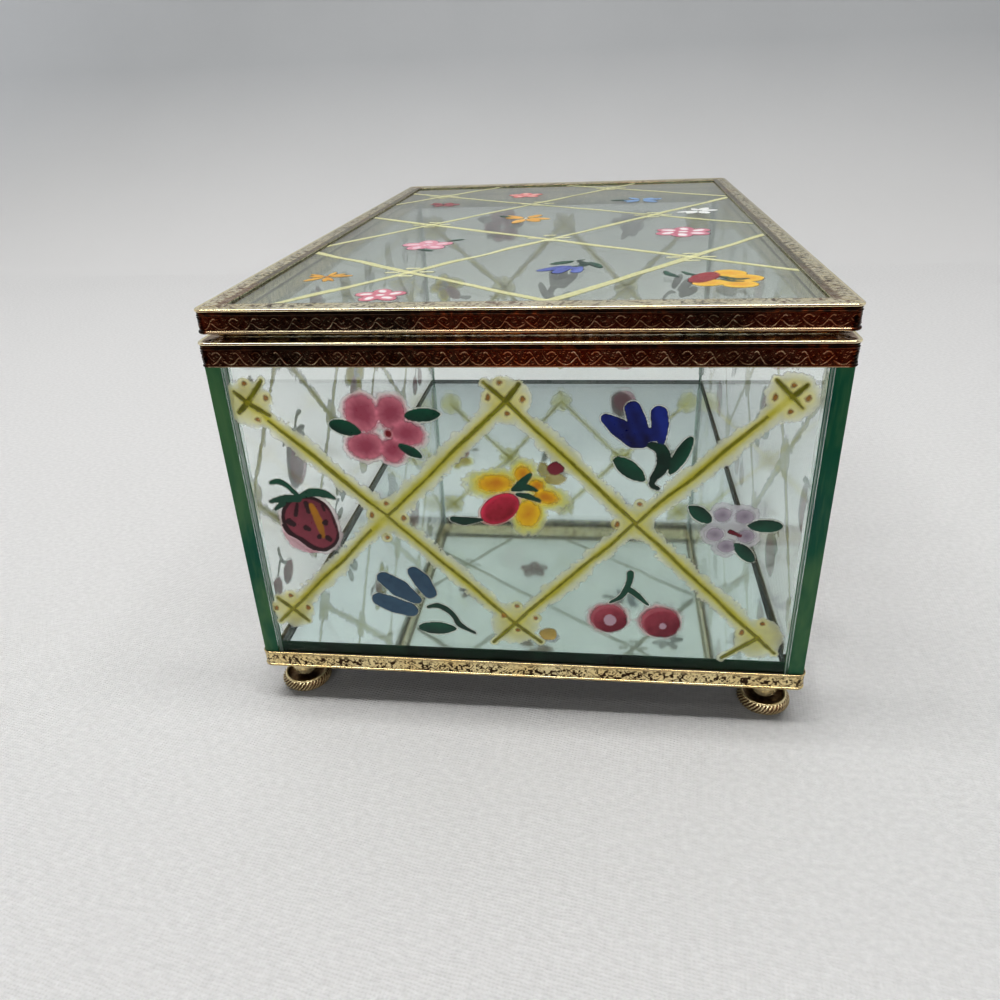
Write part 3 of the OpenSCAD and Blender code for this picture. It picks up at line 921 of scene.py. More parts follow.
def blossom(cv, x, y, petals, light, deep, eye, rim, leaves=(), rot=0, k=1.0, flip=1, seed=1, halo=1.0, feather=0.9, eye_r=0.62):
    """Round open flower with dry-brushed petals, darker in their middles."""
    m = Motif(cv, x, y, rot, k, flip, seed, halo=halo)
    for px, py, rx, ry, an in petals:
        m.wash(ell(m.x, m.y, px, py, rx + 0.75, ry + 0.75, an), rim, 0.5, 0.6, 0.7)
    for px, py, rx, ry, an in petals:
        m.wash(ell(m.x, m.y, px, py, rx + 0.1, ry + 0.1, an), light, 0.9, 0.75, 0.5)
    order = list(petals)
    for px, py, rx, ry, an in order:
        sd = ell(m.x, m.y, px, py, rx, ry, an)
        t = np.clip(-sd / (0.8 * min(rx, ry)), 0, 1) ** 0.75
        a = np.arctan2(m.y - py, m.x - px)
        streak = 0.16 * np.sin(a * 9 + 3 * np.sin(a * 2 + px)) * (1 - t)
        m.solid(sd + 0.12, m.grad(t * 1.2 - 0.12 + streak, light, deep), feather, 0.95, 0.05, 0.4, 0.4)
    if eye is not None:
        m.solid(ell(m.x, m.y, 0, 0, eye_r + 0.3, eye_r + 0.35, 10), lin(214, 150, 156), 0.3, 0.8, 0.06, 0.2)
        m.solid(ell(m.x, m.y, 0, 0, eye_r, eye_r * 1.12, 10), eye, 0.14, 1, 0.09, 0.15)
    for lf in leaves:
        m.leaf(*lf)


PINK_PETALS = [(-4.55, 4.0, 3.3, 3.8, 12), (0.8, 4.2, 2.95, 3.3, 0), (-4.5, -2.5, 3.8, 2.85, 0), (0.5, -3.3, 2.5, 2.75, 0), (3.5, 0.1, 3.4, 2.6, -12)]


def pink(cv, x, y, **kw):
    kw.setdefault("leaves", ((-8.0, 1.1, 6.2, 2.9, -17, 1), (6.7, 3.7, 6.8, 2.6, 4, 1), (3.8, -3.4, 5.1, 1.9, -31, 1)))
    blossom(cv, x, y, PINK_PETALS, ROSE, ROSE_D, lin(112, 2, 22), lin(232, 216, 214), **kw)


def lilac(cv, x, y, **kw):
    pet = [(-2.5, 3.8, 1.65, 1.6, 0), (1.4, 3.55, 1.75, 1.55, 0), (-3.6, -0.3, 1.75, 1.5, 0), (2.1, -0.5, 1.6, 1.5, 0), (-1.3, -2.8, 1.75, 1.4, 0)]
    m = Motif(cv, x, y, kw.get("rot", 0), kw.get("k", 1), kw.get("flip", 1), kw.get("seed", 4), halo=kw.get("halo", 1))
    g = ell(m.x, m.y, -0.7, 0.8, 4.7, 5.1, 0) if len(m.idx) else m.x
    for px, py, rx, ry, an in pet:
        g = np.minimum(g, ell(m.x, m.y, px, py, rx + 0.9, ry + 0.9, an))
    m.wash(g, lin(214, 208, 216), 0.45, 0.72, 0.5)
    for px, py, rx, ry, an in pet:
        sd = ell(m.x, m.y, px, py, rx, ry, an)
        t = np.clip(-sd / ry, 0, 1)
        m.solid(sd, m.grad(t * 1.1, lin(190, 180, 192), lin(138, 122, 142)), 0.8, 0.85, 0.04, 0.35, 0.25)
    m.solid(stroke(m.x, m.y, [(-0.9, 0.35), (1.0, -0.45)], [0.85, 0.6]), lin(100, 2, 30), 0.12, 1, 0.08, 0.15)
    for lf in ((-6.6, 3.9, 5.3, 2.6, 143, 1), (5.2, 1.7, 6.3, 2.6, 180, 1), (2.0, -4.0, 5.5, 2.4, 135, 1)):
        m.leaf(*lf)


def tulip(cv, x, y, blue=None, rot=0, k=1.0, flip=1, seed=2, halo=1.0, stem=True):
    lightc, deepc = blue or (lin(24, 46, 132), lin(4, 10, 62))
    m = Motif(cv, x, y, rot, k, flip, seed, r=16, halo=halo)
    lobes = (([(-5.3, 1.3), (-2.9, -0.4), (-0.2, -2.4), (1.6, -3.4)], (1.8, 3.4, 3.7, 1.3)),
             ([(-0.7, 3.2), (0.1, 0.9), (1.2, -2.2)], (2.8, 3.3, 3.0)),
             ([(3.85, 2.3), (4.1, 0.2), (4.4, -2.4), (4.6, -3.2)], (2.9, 3.0, 1.7, 0.6)),
             ([(1.0, -1.9), (3.8, -1.5)], (2.8, 2.6)))
    sds = []
    for pts, w in lobes:
        pts = curve(pts)
        sds.append(stroke(m.x, m.y, pts, taper(len(pts), *w)))
    if len(m.idx):
        allsd = np.minimum(np.minimum(sds[0], sds[1]), np.minimum(sds[2], sds[3]))
        m.wash(allsd - 0.24, PALE, 0.2, 0.75, 0.12)
        f = 0.62 - 0.05 * m.y - 0.55 * sstep(2.2, 4.6, m.x) - 0.25 * sstep(-2.5, -5.5, m.x) + 0.15 * np.sin(m.x * 2.4 + m.y)
        m.solid(allsd, m.grad(f, lightc, deepc), 0.12, 1, 0.08, 0.16)
    if stem:
        m.stem([(2.6, -3.7), (4.5, -4.5), (5.2, -6.6), (4.6, -8.5), (3.6, -10.1), (3.3, -11.5), (4.3, -12.2)], (1.0, 2.2, 2.6, 2.1, 1.4, 1.0, 0.8))
        m.leaf(-0.8, -8.5, 7.1, 3.1, -38, 1)
        m.leaf(8.0, -5.7, 8.2, 2.5, -115, 1)


def strawberry(cv, x, y, rot=0, k=1.0, flip=1, seed=3, halo=1.0):
    m = Motif(cv, x, y, rot, k, flip, seed, r=15, halo=halo)
    if not len(m.idx):
        return
    b1, b2 = ell(m.x, m.y, 0.3, 0.3, 5.35, 5.1, 20), ell(m.x, m.y, 1.9, -2.6, 4.3, 4.3, 0)
    h = np.clip(0.5 + 0.5 * (b2 - b1) / 1.2, 0, 1)
    body = b2 * (1 - h) + b1 * h - 1.2 * h * (1 - h)
    m.wash(body - 0.65, lin(226, 206, 208), 0.5, 0.6, 0.5)
    m.wash(ell(m.x, m.y, -0.2, -2.5, 5.3, 5.0, 20), lin(196, 112, 132), 0.9, 0.7, 0.5)
    m.solid(body, m.grad(0.45 + m.x * 0.03 + m.y * 0.05, lin(136, 58, 72), lin(98, 34, 48)), 0.25, 1, 0.06)
    m.solid(stroke(m.x, m.y, curve([(1.5, 3.3), (2.4, -0.2), (2.9, -3.6)]), taper(13, 1.2, 1.7, 0.8)), m.grad(0.5 - m.y * 0.08, lin(176, 120, 16), lin(140, 92, 10)), 0.35, 1, 0.07)
    red = lin(42, 0, 12)
    thick = 0.34 - 0.2 * sstep(2.5, 5.0, m.x) * sstep(-4.5, -2.0, m.y)
    m.solid(np.abs(body + 0.3) - thick, red, 0.14, 1, 0.09, 0.2)
    m.solid(stroke(m.x, m.y, curve([(-4.9, -1.2), (-4.0, -2.9), (-1.4, -4.5), (0.5, -6.1), (2.6, -6.6), (4.5, -5.6)]), taper(31, 0.7, 1.0, 0.9, 1.0, 0.9, 0.6)), red, 0.14, 1, 0.09, 0.25)
    for sx, sy, L, W, a in ((-3.2, -0.6, 2.4, 1.5, -35), (-0.1, -1.8, 1.9, 1.25, -30), (3.8, -0.3, 1.6, 1.2, 60), (2.1, -3.5, 1.3, 1.1, 60), (4.0, -4.0, 1.8, 1.3, -40),
                            (-1.7, 2.4, 3.4, 0.85, 74), (0.55, 2.9, 3.0, 1.05, -84), (3.8, 2.9, 1.6, 0.6, -75)):
        c, sn = math.cos(math.radians(a)), math.sin(math.radians(a))
        w = max((L - W) / 2, 0.15)
        m.solid(stroke(m.x, m.y, [(sx - c * w, sy - sn * w), (sx + c * w, sy + sn * w)], [W, W * 0.8]), red, 0.12, 1, 0.1, 0.2)
    for pts, w in (([(-6.0, 8.1), (-4.3, 8.4), (-2.7, 7.5), (-1.6, 6.2), (-0.7, 5.0)], (0.6, 1.15, 0.95, 0.9, 0.9)),
                   ([(-0.8, 5.1), (2.0, 6.2), (4.5, 5.9), (6.5, 4.9)], (0.8, 1.8, 1.6, 0.3)),
                   ([(-6.7, 4.0), (-4.2, 4.6), (-1.0, 4.8)], (0.5, 1.5, 1.5)), ([(-6.0, 2.3), (-4.3, 3.7)], (0.5, 1.3))):
        m.stem(pts, w)


def cherries(cv, x, y, rot=0, k=1.0, flip=1, seed=5, halo=1.0):
    m = Motif(cv, x, y, rot, k, flip, seed, halo=halo)
    for cx, cy, rx, ry, sp in ((-5.0, -3.7, 3.5, 3.15, 0), (5.2, -4.2, 3.75, 3.4, 1)):
        m.wash(ell(m.x, m.y, cx - 0.4, cy + 0.6, rx + 1.1, ry + 1.1, 0), lin(226, 206, 206), 0.9, 0.32, 0.7)
        m.wash(ell(m.x, m.y, cx - 0.4, cy + 0.6, rx + 0.4, ry + 0.3, 0), lin(196, 108, 120), 0.9, 0.75, 0.7)
        m.solid(ell(m.x, m.y, cx - 0.35, cy + 0.5, rx + 0.1, ry + 0.1, 0), lin(184, 88, 102), 0.6, 0.9, 0.05, 0.4, 0.3)
        sd = ell(m.x, m.y, cx + 0.1, cy - 0.1, rx, ry, 0)
        up = np.clip(0.75 - (m.y - cy) * 0.12 + (m.x - cx) * 0.06, 0, 1)
        m.solid(sd + 0.2, m.grad(up, lin(170, 70, 86), lin(108, 24, 42)), 0.5, 1, 0.07, 0.3, 0.2)
        s2 = ell(m.x, m.y, cx, cy - 0.05, 1.25, 1.3, 0) if not sp else ell(m.x, m.y, cx + 0.3, cy - 0.5, 0.75, 0.8, 0)
        m.solid(s2, lin(176, 148, 160), 0.14, 1, 0.1, 0.4)
    m.stem([(-1.3, 7.4), (-1.4, 5.8), (-1.9, 3.9)], (1.3, 1.15, 1.1))
    m.stem([(-1.9, 3.9), (-3.0, 1.9), (-5.1, 0.5)], (1.2, 1.0, 0.4))
    m.stem([(-1.7, 3.9), (0.3, 2.3), (2.4, 0.2)], (1.1, 1.2, 0.4))


def sprig(cv, x, y, rgb=None, rot=0, k=1.0, flip=1, seed=6, halo=1.0):
    a, b = rgb or (lin(62, 94, 116), lin(40, 66, 88))
    m = Motif(cv, x, y, rot, k, flip, seed, r=17, halo=halo)
    for pts, w in (([(-4.6, 3.7), (-1.5, 1.3), (1.9, -1.4)], (2.8, 4.3, 1.8)), ([(-6.0, -1.5), (-3.1, -2.8), (0.3, -3.9)], (3.1, 3.9, 3.1)),
                   ([(1.7, 5.4), (3.2, 3.3), (4.6, 0.6)], (2.4, 3.7, 2.8))):
        pts = curve(pts)
        sd = stroke(m.x, m.y, pts, taper(len(pts), *w))
        m.wash(sd - 0.2, PALE, 0.18, 0.6, 0.1)
        m.solid(sd, m.grad(0.5 - sd * 0.12 + m.y * 0.02, a, b), 0.1, 1, 0.07, 0.2)
    m.stem([(3.9, -3.0), (5.9, -2.6), (7.8, -3.4), (9.3, -5.1), (10.4, -7.2), (13.4, -9.1)], (0.5, 1.2, 1.25, 1.05, 1.25, 0.5))
    m.leaf(5.6, -8.2, 8.0, 2.9, 0, 1)


def yellow_rosebud(cv, x, y, rot=0, k=1.0, flip=1, seed=7, halo=1.0):
    m = Motif(cv, x, y, rot, k, flip, seed, r=15, halo=halo)
    pet = ((-3.5, 3.6, 3.7, 2.0, 3), (1.7, 5.6, 1.8, 1.9, 0), (4.2, 3.2, 1.7, 1.6, 0), (5.9, 1.0, 2.6, 1.6, -14), (2.5, -2.6, 2.4, 3.1, -10))
    g = np.full(m.x.shape, 1e9)
    for cx, cy, rx, ry, an in pet:
        g = np.minimum(g, ell(m.x, m.y, cx, cy, rx, ry, an))
    m.wash(g - 1.35, lin(222, 222, 176), 0.4, 0.5, 1.0)
    m.wash(g - 0.95, lin(214, 212, 104), 0.7, 0.7, 0.8)
    m.wash(g - 0.25, lin(238, 214, 30), 0.8, 0.95, 0.5)
    for cx, cy, rx, ry, an in pet:
        sd = ell(m.x, m.y, cx, cy, rx, ry, an)
        m.solid(sd + 0.15, m.grad(np.clip(-sd / (0.8 * ry), 0, 1), lin(240, 200, 20), lin(208, 134, 2)), 0.8, 0.97, 0.06, 0.5, 0.3)
    sd = ell(m.x, m.y, -2.8, -1.7, 4.2, 2.75, 36)
    m.wash(sd - 0.3, lin(220, 160, 150), 0.3, 0.7, 0.2)
    m.solid(sd, m.grad(0.72 - (m.y + 1.7) * 0.11 + (m.x + 2.8) * 0.06 - 0.5 * sstep(-0.9, -0.1, sd), lin(204, 46, 78), lin(128, 0, 28)), 0.16, 1, 0.09, 0.15)
    m.stem([(-6.3, -4.1), (-9.7, -4.5), (-12.0, -4.1)], (0.4, 1.7, 1.1))
    m.stem([(-0.1, 2.5), (1.7, 4.1), (3.1, 5.6)], (0.9, 1.5, 0.8))
    m.stem([(0.5, 2.7), (2.4, 2.9), (4.2, 2.4)], (1.3, 1.5, 0.6))
    m.stem([(0.6, 1.4), (2.7, 1.0), (4.7, 0.2)], (0.7, 1.2, 0.8))


def smallbud(cv, x, y, rot=0, k=1.0, flip=1, seed=8, halo=1.0):
    m = Motif(cv, x, y, rot, k, flip, seed, r=7, halo=halo)
    m.solid(ell(m.x, m.y, -2.0, 0.1, 1.1, 1.6, 10), lin(158, 148, 56), 0.35, 0.85, 0.04, 0.5, 0.3)
    m.solid(ell(m.x, m.y, 0.2, -1.7, 2.0, 1.2, 0), lin(170, 156, 66), 0.35, 0.85, 0.04, 0.5, 0.3)
    m.solid(ell(m.x, m.y, 0.1, 0.4, 1.5, 1.2, 0), lin(122, 40, 54), 0.25, 1, 0.06, 0.5, 0.2)


def daisy(cv, x, y, light, deep, eye, n=7, r=3.2, rot=0, k=1.0, flip=1, seed=9, halo=1.0, wide=1.1, leaves=()):
    """Small flower of separate brush dabs round an eye."""
    m = Motif(cv, x, y, rot, k, flip, seed, halo=halo)
    for i in range(n):
        a = 2 * math.pi * (i + 0.3 * math.sin(seed + i * 2.3)) / n
        L = r * (0.85 + 0.3 * math.sin(seed * 1.7 + i * 1.9) ** 2)
        cx, cy = math.cos(a) * L * 0.62, math.sin(a) * L * 0.62
        sd = leaf(m.x, m.y, cx, cy, L * 0.95, wide * (0.9 + 0.2 * math.cos(i * 1.3)), math.degrees(a) + 180, 1)
        m.solid(sd, m.grad(0.5 + 0.2 * math.sin(i * 2.0 + seed) - sd * 0.4, light, deep), 0.12, 1, 0.07, 0.14)
    if eye is not None:
        m.solid(ell(m.x, m.y, 0, 0, 0.55, 0.55), eye, 0.14, 1, 0.1, 0.1)
    for lf in leaves:
        m.leaf(*lf)


def ovals(cv, x, y, light, deep, spot, rot=0, k=1.0, flip=1, seed=10, halo=1.0, n=5, leaves=()):
    """Round petals, each with a pale oval dab."""
    m = Motif(cv, x, y, rot, k, flip, seed, halo=halo)
    for i in range(n):
        a = 2 * math.pi * i / n + 0.4
        sd = ell(m.x, m.y, 2.6 * math.cos(a), 2.6 * math.sin(a), 2.1, 1.7, math.degrees(a))
        m.solid(sd, m.grad(0.5 - sd * 0.2, light, deep), 0.25, 1, 0.05, 0.3)
    for i in range(n):
        a = 2 * math.pi * i / n + 0.4
        m.solid(ell(m.x, m.y, 2.7 * math.cos(a), 2.7 * math.sin(a), 1.15, 0.7, math.degrees(a) + 20), spot, 0.15, 1, 0.08, 0.15)
    m.solid(ell(m.x, m.y, 0, 0, 0.8, 0.6), spot, 0.15, 1, 0.08, 0.15)
    for lf in leaves:
        m.leaf(*lf)


# ---- trellis
OLIVE, OLIVE_D = lin(132, 132, 12), lin(88, 90, 6)
YEL, YEL_P, YEL_W = lin(198, 186, 32), lin(218, 208, 96), lin(228, 226, 164)
FRINGE = lin(230, 230, 204)
DOT, DOT_D = lin(178, 132, 52), lin(146, 98, 34)


def seg_dist(U, V, segs):
    d = np.full(U.shape, 1e9)
    for (x0, y0), (x1, y1) in segs:
        vx, vy = x1 - x0, y1 - y0
        L = vx * vx + vy * vy
        t = np.clip(((U - x0) * vx + (V - y0) * vy) / L, 0, 1)
        d = np.minimum(d, np.hypot(U - x0 - t * vx, V - y0 - t * vy))
    return d


def trellis_wash(cv, segs, nodes, strength=1.0, wide=2.15, seed=60):
    """Translucent yellow ground under the trellis, ragged at its edge. A node
    is (x, y, radius, arms, dots)."""
    U, V = cv.U, cv.V
    d = seg_dist(U, V, segs)
    slow = (fbm(U * 0.16, V * 0.16, seed, 2) - 0.5) * 2.0
    rag = (fbm(U * 0.7, V * 0.7, seed + 1, 3) - 0.5) * 1.3 + np.abs(vnoise(U * 2.1, V * 2.1, seed + 3) - 0.5) * 1.0 - 0.25
    edge = d - wide - slow * 0.6 - rag * 1.15
    for x, y, r, arms, dots in nodes:
        q = np.hypot(U - x, V - y)
        edge = np.minimum(edge, q - r - rag * 0.9)
        for ax, ay, w in arms:
            i = np.nonzero(q < 10)[0]
            edge[i] = np.minimum(edge[i], stroke(U[i], V[i], [(x, y), (x + ax, y + ay)], 2.0) - rag[i] * 0.6)
    idx = np.arange(len(U))
    tone = fbm(U * 0.9, V * 0.9, seed + 9, 3)[:, None]
    gr = (fbm(U * 3.2, V * 3.2, seed + 4, 2) - 0.5)
    cv.put(idx, edge, FRINGE, 0.22, 0.66 * strength, 0.01)
    cv.put(idx, edge + 0.4 + gr * 0.5, YEL_W * (0.86 + 0.2 * tone), 0.6, 0.42 * strength, 0.01)
    cv.put(idx, np.maximum(d - 0.52 * wide - slow * 0.3 - gr * 0.7, edge + 0.3), YEL_P * (0.86 + 0.25 * tone), 1.1, 0.7 * strength, 0.01)
    cv.put(idx, d - 0.27 * wide - slow * 0.2 - gr * 0.3, YEL * (0.84 + 0.2 * tone), 0.9, 0.95 * strength, 0.02)
    for x, y, r, arms, dots in nodes:
        i2, lx, ly = cv.near(x, y, r + 1)
        if len(i2):
            q = np.hypot(lx, ly)
            cv.put(i2, q - r * 0.72 - gr[i2] * 1.2, YEL_P * (0.8 + 0.3 * tone[i2]), r * 0.5, 0.55 * strength, 0.02)
            for ax, ay, w in arms:
                cv.put(i2, stroke(lx, ly, [(0, 0), (ax, ay)], [1.4, 1.1]), YEL * 0.9, 0.9, 0.7 * strength, 0.02)
        for dx, dy in dots:
            i2, lx, ly = cv.near(x + dx, y + dy, 2.5)
            cv.put(i2, np.hypot(lx, ly) - 1.15, lin(224, 214, 130), 0.7, 0.6 * strength, 0.02)


def trellis_lines(cv, segs, nodes, seed=61, w=0.46):
    """Olive brush lines, the arms of the crosses and brown dots."""
    U, V = cv.U, cv.V
    for k, seg in enumerate(segs):
        (x0, y0), (x1, y1) = seg[:2]
        L = math.hypot(x1 - x0, y1 - y0)
        ux, uy = (x1 - x0) / L, (y1 - y0) / L
        t = (U - x0) * ux + (V - y0) * uy
        q = -(U - x0) * uy + (V - y0) * ux
        near = np.nonzero((np.abs(q) < 2.5) & (t > -1.5) & (t < L + 1.5))[0]
        if not len(near):
            continue
        tt, qq = t[near], q[near]
        wob = (vnoise(tt * 0.14, np.full_like(tt, k * 3.7), seed) - 0.5) * 0.5
        # the width swells and thins as the brush travels
        ww = w * (0.45 + 0.9 * vnoise(tt * 0.1 + 5, np.full_like(tt, k * 1.9), seed + 1)) / 2
        start = 5.4 + 0.8 * math.sin(k * 2.3 + seed)
        if k % 3 == 0:
            ww = np.where(tt < start, -0.2, ww * (0.75 + 0.25 * sstep(start, start + 6, tt)))
        lim = np.maximum(-tt, tt - L)
        n = (fbm(tt * 1.3, qq * 4, seed + 2, 2) - 0.5)
        sd = np.maximum(np.abs(qq - wob) - ww + n * 0.14, lim * 0.8)
        cv.put(near, sd - 0.12, YEL * 0.7, 0.4, 0.6, 0.03)
        shade = np.clip(0.8 - sstep(-0.12, 0.04, sd) * 0.8 + n * 0.9, 0, 1)[:, None]
        cv.put(near, sd, OLIVE * shade + OLIVE_D * (1 - shade), 0.18, 0.97, 0.07)
    for x, y, r, arms, dots in nodes:
        for j, (ax, ay, wd) in enumerate(arms):
            i2, lx, ly = cv.near(x, y, 9)
            if len(i2):
                n = fbm(lx * 0.9 + j * 7, ly * 0.9, seed + 7, 2) - 0.5
                sd = stroke(lx, ly, [(0, 0), (ax * 0.5, ay * 0.5), (ax, ay)], [wd, wd * 1.1, wd * 0.7]) + n * 0.25
                sh = np.clip(0.35 + n * 1.6, 0, 1)[:, None]
                cv.put(i2, sd - 0.15, YEL * 0.6, 0.4, 0.7, 0.03)
                cv.put(i2, sd, OLIVE * sh + OLIVE_D * (1 - sh), 0.22, 0.95, 0.08)
        for dx, dy in dots:
            i2, lx, ly = cv.near(x + dx, y + dy, 2)
            if len(i2):
                q = np.hypot(lx, ly * 0.9) + (vnoise(lx * 2 + dx, ly * 2, seed) - 0.5) * 0.4
                cv.put(i2, q - 0.5, DOT, 0.6, 0.8, 0.04)
                cv.put(i2, q - 0.28, DOT_D, 0.4, 0.8, 0.05)


# ---- painted regions turned into meshes
def contour(u0, u1, v0, v1, cell, cover):
    """Mesh of the region where cover > 0 on a grid: (P, quads, others)."""
    nu, nv = int(round((u1 - u0) / cell)), int(round((v1 - v0) / cell))
    us, vs = np.linspace(u0, u1, nu + 1), np.linspace(v0, v1, nv + 1)
    UU, VV = np.meshgrid(us, vs, indexing="ij")
    F = cover(UU.ravel(), VV.ravel()).reshape(UU.shape)
    inside = F > 0
    ids = np.full(F.shape, -1, dtype=np.int64)
    ids[inside] = np.arange(inside.sum())
    P = [np.stack([UU[inside], VV[inside]], 1)]
    count = int(inside.sum())
    # crossings on grid edges
    hx = inside[:-1, :] != inside[1:, :]
    hid = np.full(hx.shape, -1, dtype=np.int64)
    hid[hx] = count + np.arange(hx.sum())
    t = np.clip(F[:-1, :][hx] / (F[:-1, :][hx] - F[1:, :][hx]), 0.12, 0.88)
    P.append(np.stack([UU[:-1, :][hx] + t * (us[1] - us[0]), VV[:-1, :][hx]], 1))
    count += int(hx.sum())
    hy = inside[:, :-1] != inside[:, 1:]
    vid = np.full(hy.shape, -1, dtype=np.int64)
    vid[hy] = count + np.arange(hy.sum())
    t = np.clip(F[:, :-1][hy] / (F[:, :-1][hy] - F[:, 1:][hy]), 0.12, 0.88)
    P.append(np.stack([UU[:, :-1][hy], VV[:, :-1][hy] + t * (vs[1] - vs[0])], 1))
    c00, c10, c11, c01 = inside[:-1, :-1], inside[1:, :-1], inside[1:, 1:], inside[:-1, 1:]
    full = c00 & c10 & c11 & c01
    quads = np.stack([ids[:-1, :-1][full], ids[1:, :-1][full], ids[1:, 1:][full], ids[:-1, 1:][full]], 1)
    part = (c00 | c10 | c11 | c01) & ~full
    others = {}
    for i, j in zip(*np.nonzero(part)):
        ring = []
        corner = ((i, j), (i + 1, j), (i + 1, j + 1), (i, j + 1))
        cross = (hid[i, j], vid[i + 1, j], hid[i, j + 1], vid[i, j])
        for k in range(4):
            if inside[corner[k]]:
                ring.append(ids[corner[k]])
            if inside[corner[k]] != inside[corner[(k + 1) % 4]]:
                ring.append(cross[k])
        if len(ring) >= 3:
            others.setdefault(len(ring), []).append(ring)
    return np.concatenate(P), quads, {k: np.array(v) for k, v in others.items()}


def lay(name, region, cell, layer, painter, place, body, closed, back=None, lift=0.02, floor=0.05, flipped=False):
    """Paints one layer of a pane and makes its mesh. place(u, v, h) gives 3-D
    points; closed makes a thin slab whose glass side has muted colours."""
    def cover(U, V):
        cv = Canvas(U, V, layer)
        painter(cv)
        return cv.A - floor
    P, quads, others = contour(*region, cell, cover)
    if not len(P):
        return None
    cv = Canvas(P[:, 0], P[:, 1], layer)
    painter(cv)
    A = np.clip(cv.A, 0, 1)
    n = len(P)
    groups = [quads] + list(others.values())
    if flipped:
        groups = [g[:, ::-1] for g in groups if len(g)]
    top = place(P[:, 0], P[:, 1], lift + cv.H)
    if closed:
        bottom = place(P[:, 0], P[:, 1], np.full(n, lift - 0.012))
        alpha = 1 - np.sqrt(1 - np.clip(A, 0, 0.9999))
        lum = cv.C @ np.array([0.3, 0.5, 0.2])
        muted = cv.C * 0.42 + lum[:, None] * 0.30 + np.array([0.10, 0.105, 0.11])
        col = np.concatenate([np.concatenate([cv.C, alpha[:, None]], 1), np.concatenate([muted, alpha[:, None]], 1)])
        verts = np.concatenate([top, bottom])
        edges = np.concatenate([np.stack([g, np.roll(g, -1, 1)], 2).reshape(-1, 2) for g in groups if len(g)])
        key, rev = edges[:, 0] * n + edges[:, 1], edges[:, 1] * n + edges[:, 0]
        rim = edges[~np.isin(key, rev)]
        faces = list(groups) + [g[:, ::-1] + n for g in groups if len(g)]
        faces.append(np.stack([rim[:, 1], rim[:, 0], rim[:, 0] + n, rim[:, 1] + n], 1))
    else:
        col = np.concatenate([cv.C, A[:, None]], 1)
        verts, faces = top, groups
    ob = mesh_from(name, verts, faces, [PAINT if layer == "solid" else WASH], colours={"Col": col})
    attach(ob, body)
    return ob


def place_front(u, v, h):
    return np.stack([u, np.full_like(u, YC - GY - GT) - h, v], 1)


def place_back(u, v, h):
    return np.stack([-u, np.full_like(u, YC + GY + GT) + h, v], 1)


def place_right(u, v, h):
    return np.stack([np.full_like(u, GX + GT) + h, u, v], 1)


def place_left(u, v, h):
    return np.stack([np.full_like(u, -GX - GT) - h, -u, v], 1)


def place_lid(u, v, h):
    return np.stack([u, v + YC, np.full_like(u, PANE_HI) + h], 1)


# ---- front
F_NODES = [
    (-49.4, 69.4, 4.7, ((3.3, 4.3, 0.75), (-2.0, -1.9, 0.7), (-2.2, 2.2, 0.5), (3.7, -2.4, 0.65)), ((0, 3.8), (3.7, 1.0), (1.4, -3.2))),
    (-1.7, 70.0, 4.6, ((-3.8, 3.5, 0.6), (2.4, 3.1, 0.75)), ((-1.0, 3.5), (3.0, 0.4), (0.2, -2.3), (-3.1, 0.8))),
    (47.0, 71.0, 4.5, ((-3.0, 3.1, 0.6), (2.1, 2.1, 0.75), (1.9, -2.0, 0.4)), ((-0.1, 2.1), (-2.8, 0), (2.5, -0.2), (-0.1, -2.6))),
    (-25.5, 46.4, 3.9, (), ((0, 2.7), (-3.1, 0.2), (3.2, -0.4), (-0.6, -4.8))),
    (21.8, 46.0, 3.8, (), ((0.7, 4.1), (-3.4, -0.2))),
    (-48.2, 23.7, 4.6, ((-3.2, -3.3, 0.55), (3.0, -2.9, 0.5), (-2.8, 2.6, 0.5)), ((0, 3.3), (3.4, 0.4), (-3.7, 0.1))),
    (-1.4, 22.1, 5.0, ((-4.6, -4.9, 0.6), (5.2, -4.4, 0.5)), ((0.5, 4.3), (-2.2, 1.9), (4.3, 1.5), (0.5, -1.6))),
    (46.5, 20.8, 4.8, ((-6.5, -5.1, 0.65), (3.6, -3.6, 0.4)), ((-3.2, 1.3), (0.6, 3.5)))]
F_SEGS = [(F_NODES[a][:2], F_NODES[b][:2]) for a, b in ((0, 3), (1, 3), (3, 6), (3, 5), (1, 4), (4, 7), (2, 4), (4, 6))]
F_SEGS = [F_SEGS[0], F_SEGS[1], F_SEGS[2], F_SEGS[3], F_SEGS[4], F_SEGS[5], F_SEGS[6], F_SEGS[7]]


def paint_front(cv):
    if cv.layer == "wash":
        trellis_wash(cv, F_SEGS, F_NODES)
    pink(cv, -23.5, 63.6)
    strawberry(cv, -41.9, 45.0)
    yellow_rosebud(cv, -0.7, 50.2)
    smallbud(cv, 6.9, 56.7)
    tulip(cv, 21.2, 65.6)
    lilac(cv, 40.0, 44.4)
    sprig(cv, -23.2, 28.4)
    cherries(cv, 22.6, 27.6)
    if cv.layer == "solid":
        trellis_lines(cv, F_SEGS, F_NODES)
        m = Motif(cv, 5.3, 19.8, r=5, seed=21)
        m.solid(ell(m.x, m.y, 0.7, -0.7, 1.6, 1.3), lin(120, 128, 140), 0.5, 0.6, 0.03, 0.4, 0.2)
        m.solid(ell(m.x, m.y, 0, 0, 1.8, 1.5), m.grad(0.5 + m.y * 0.3, lin(196, 168, 84), lin(150, 128, 52)), 0.4, 0.95, 0.05, 0.4, 0.2)


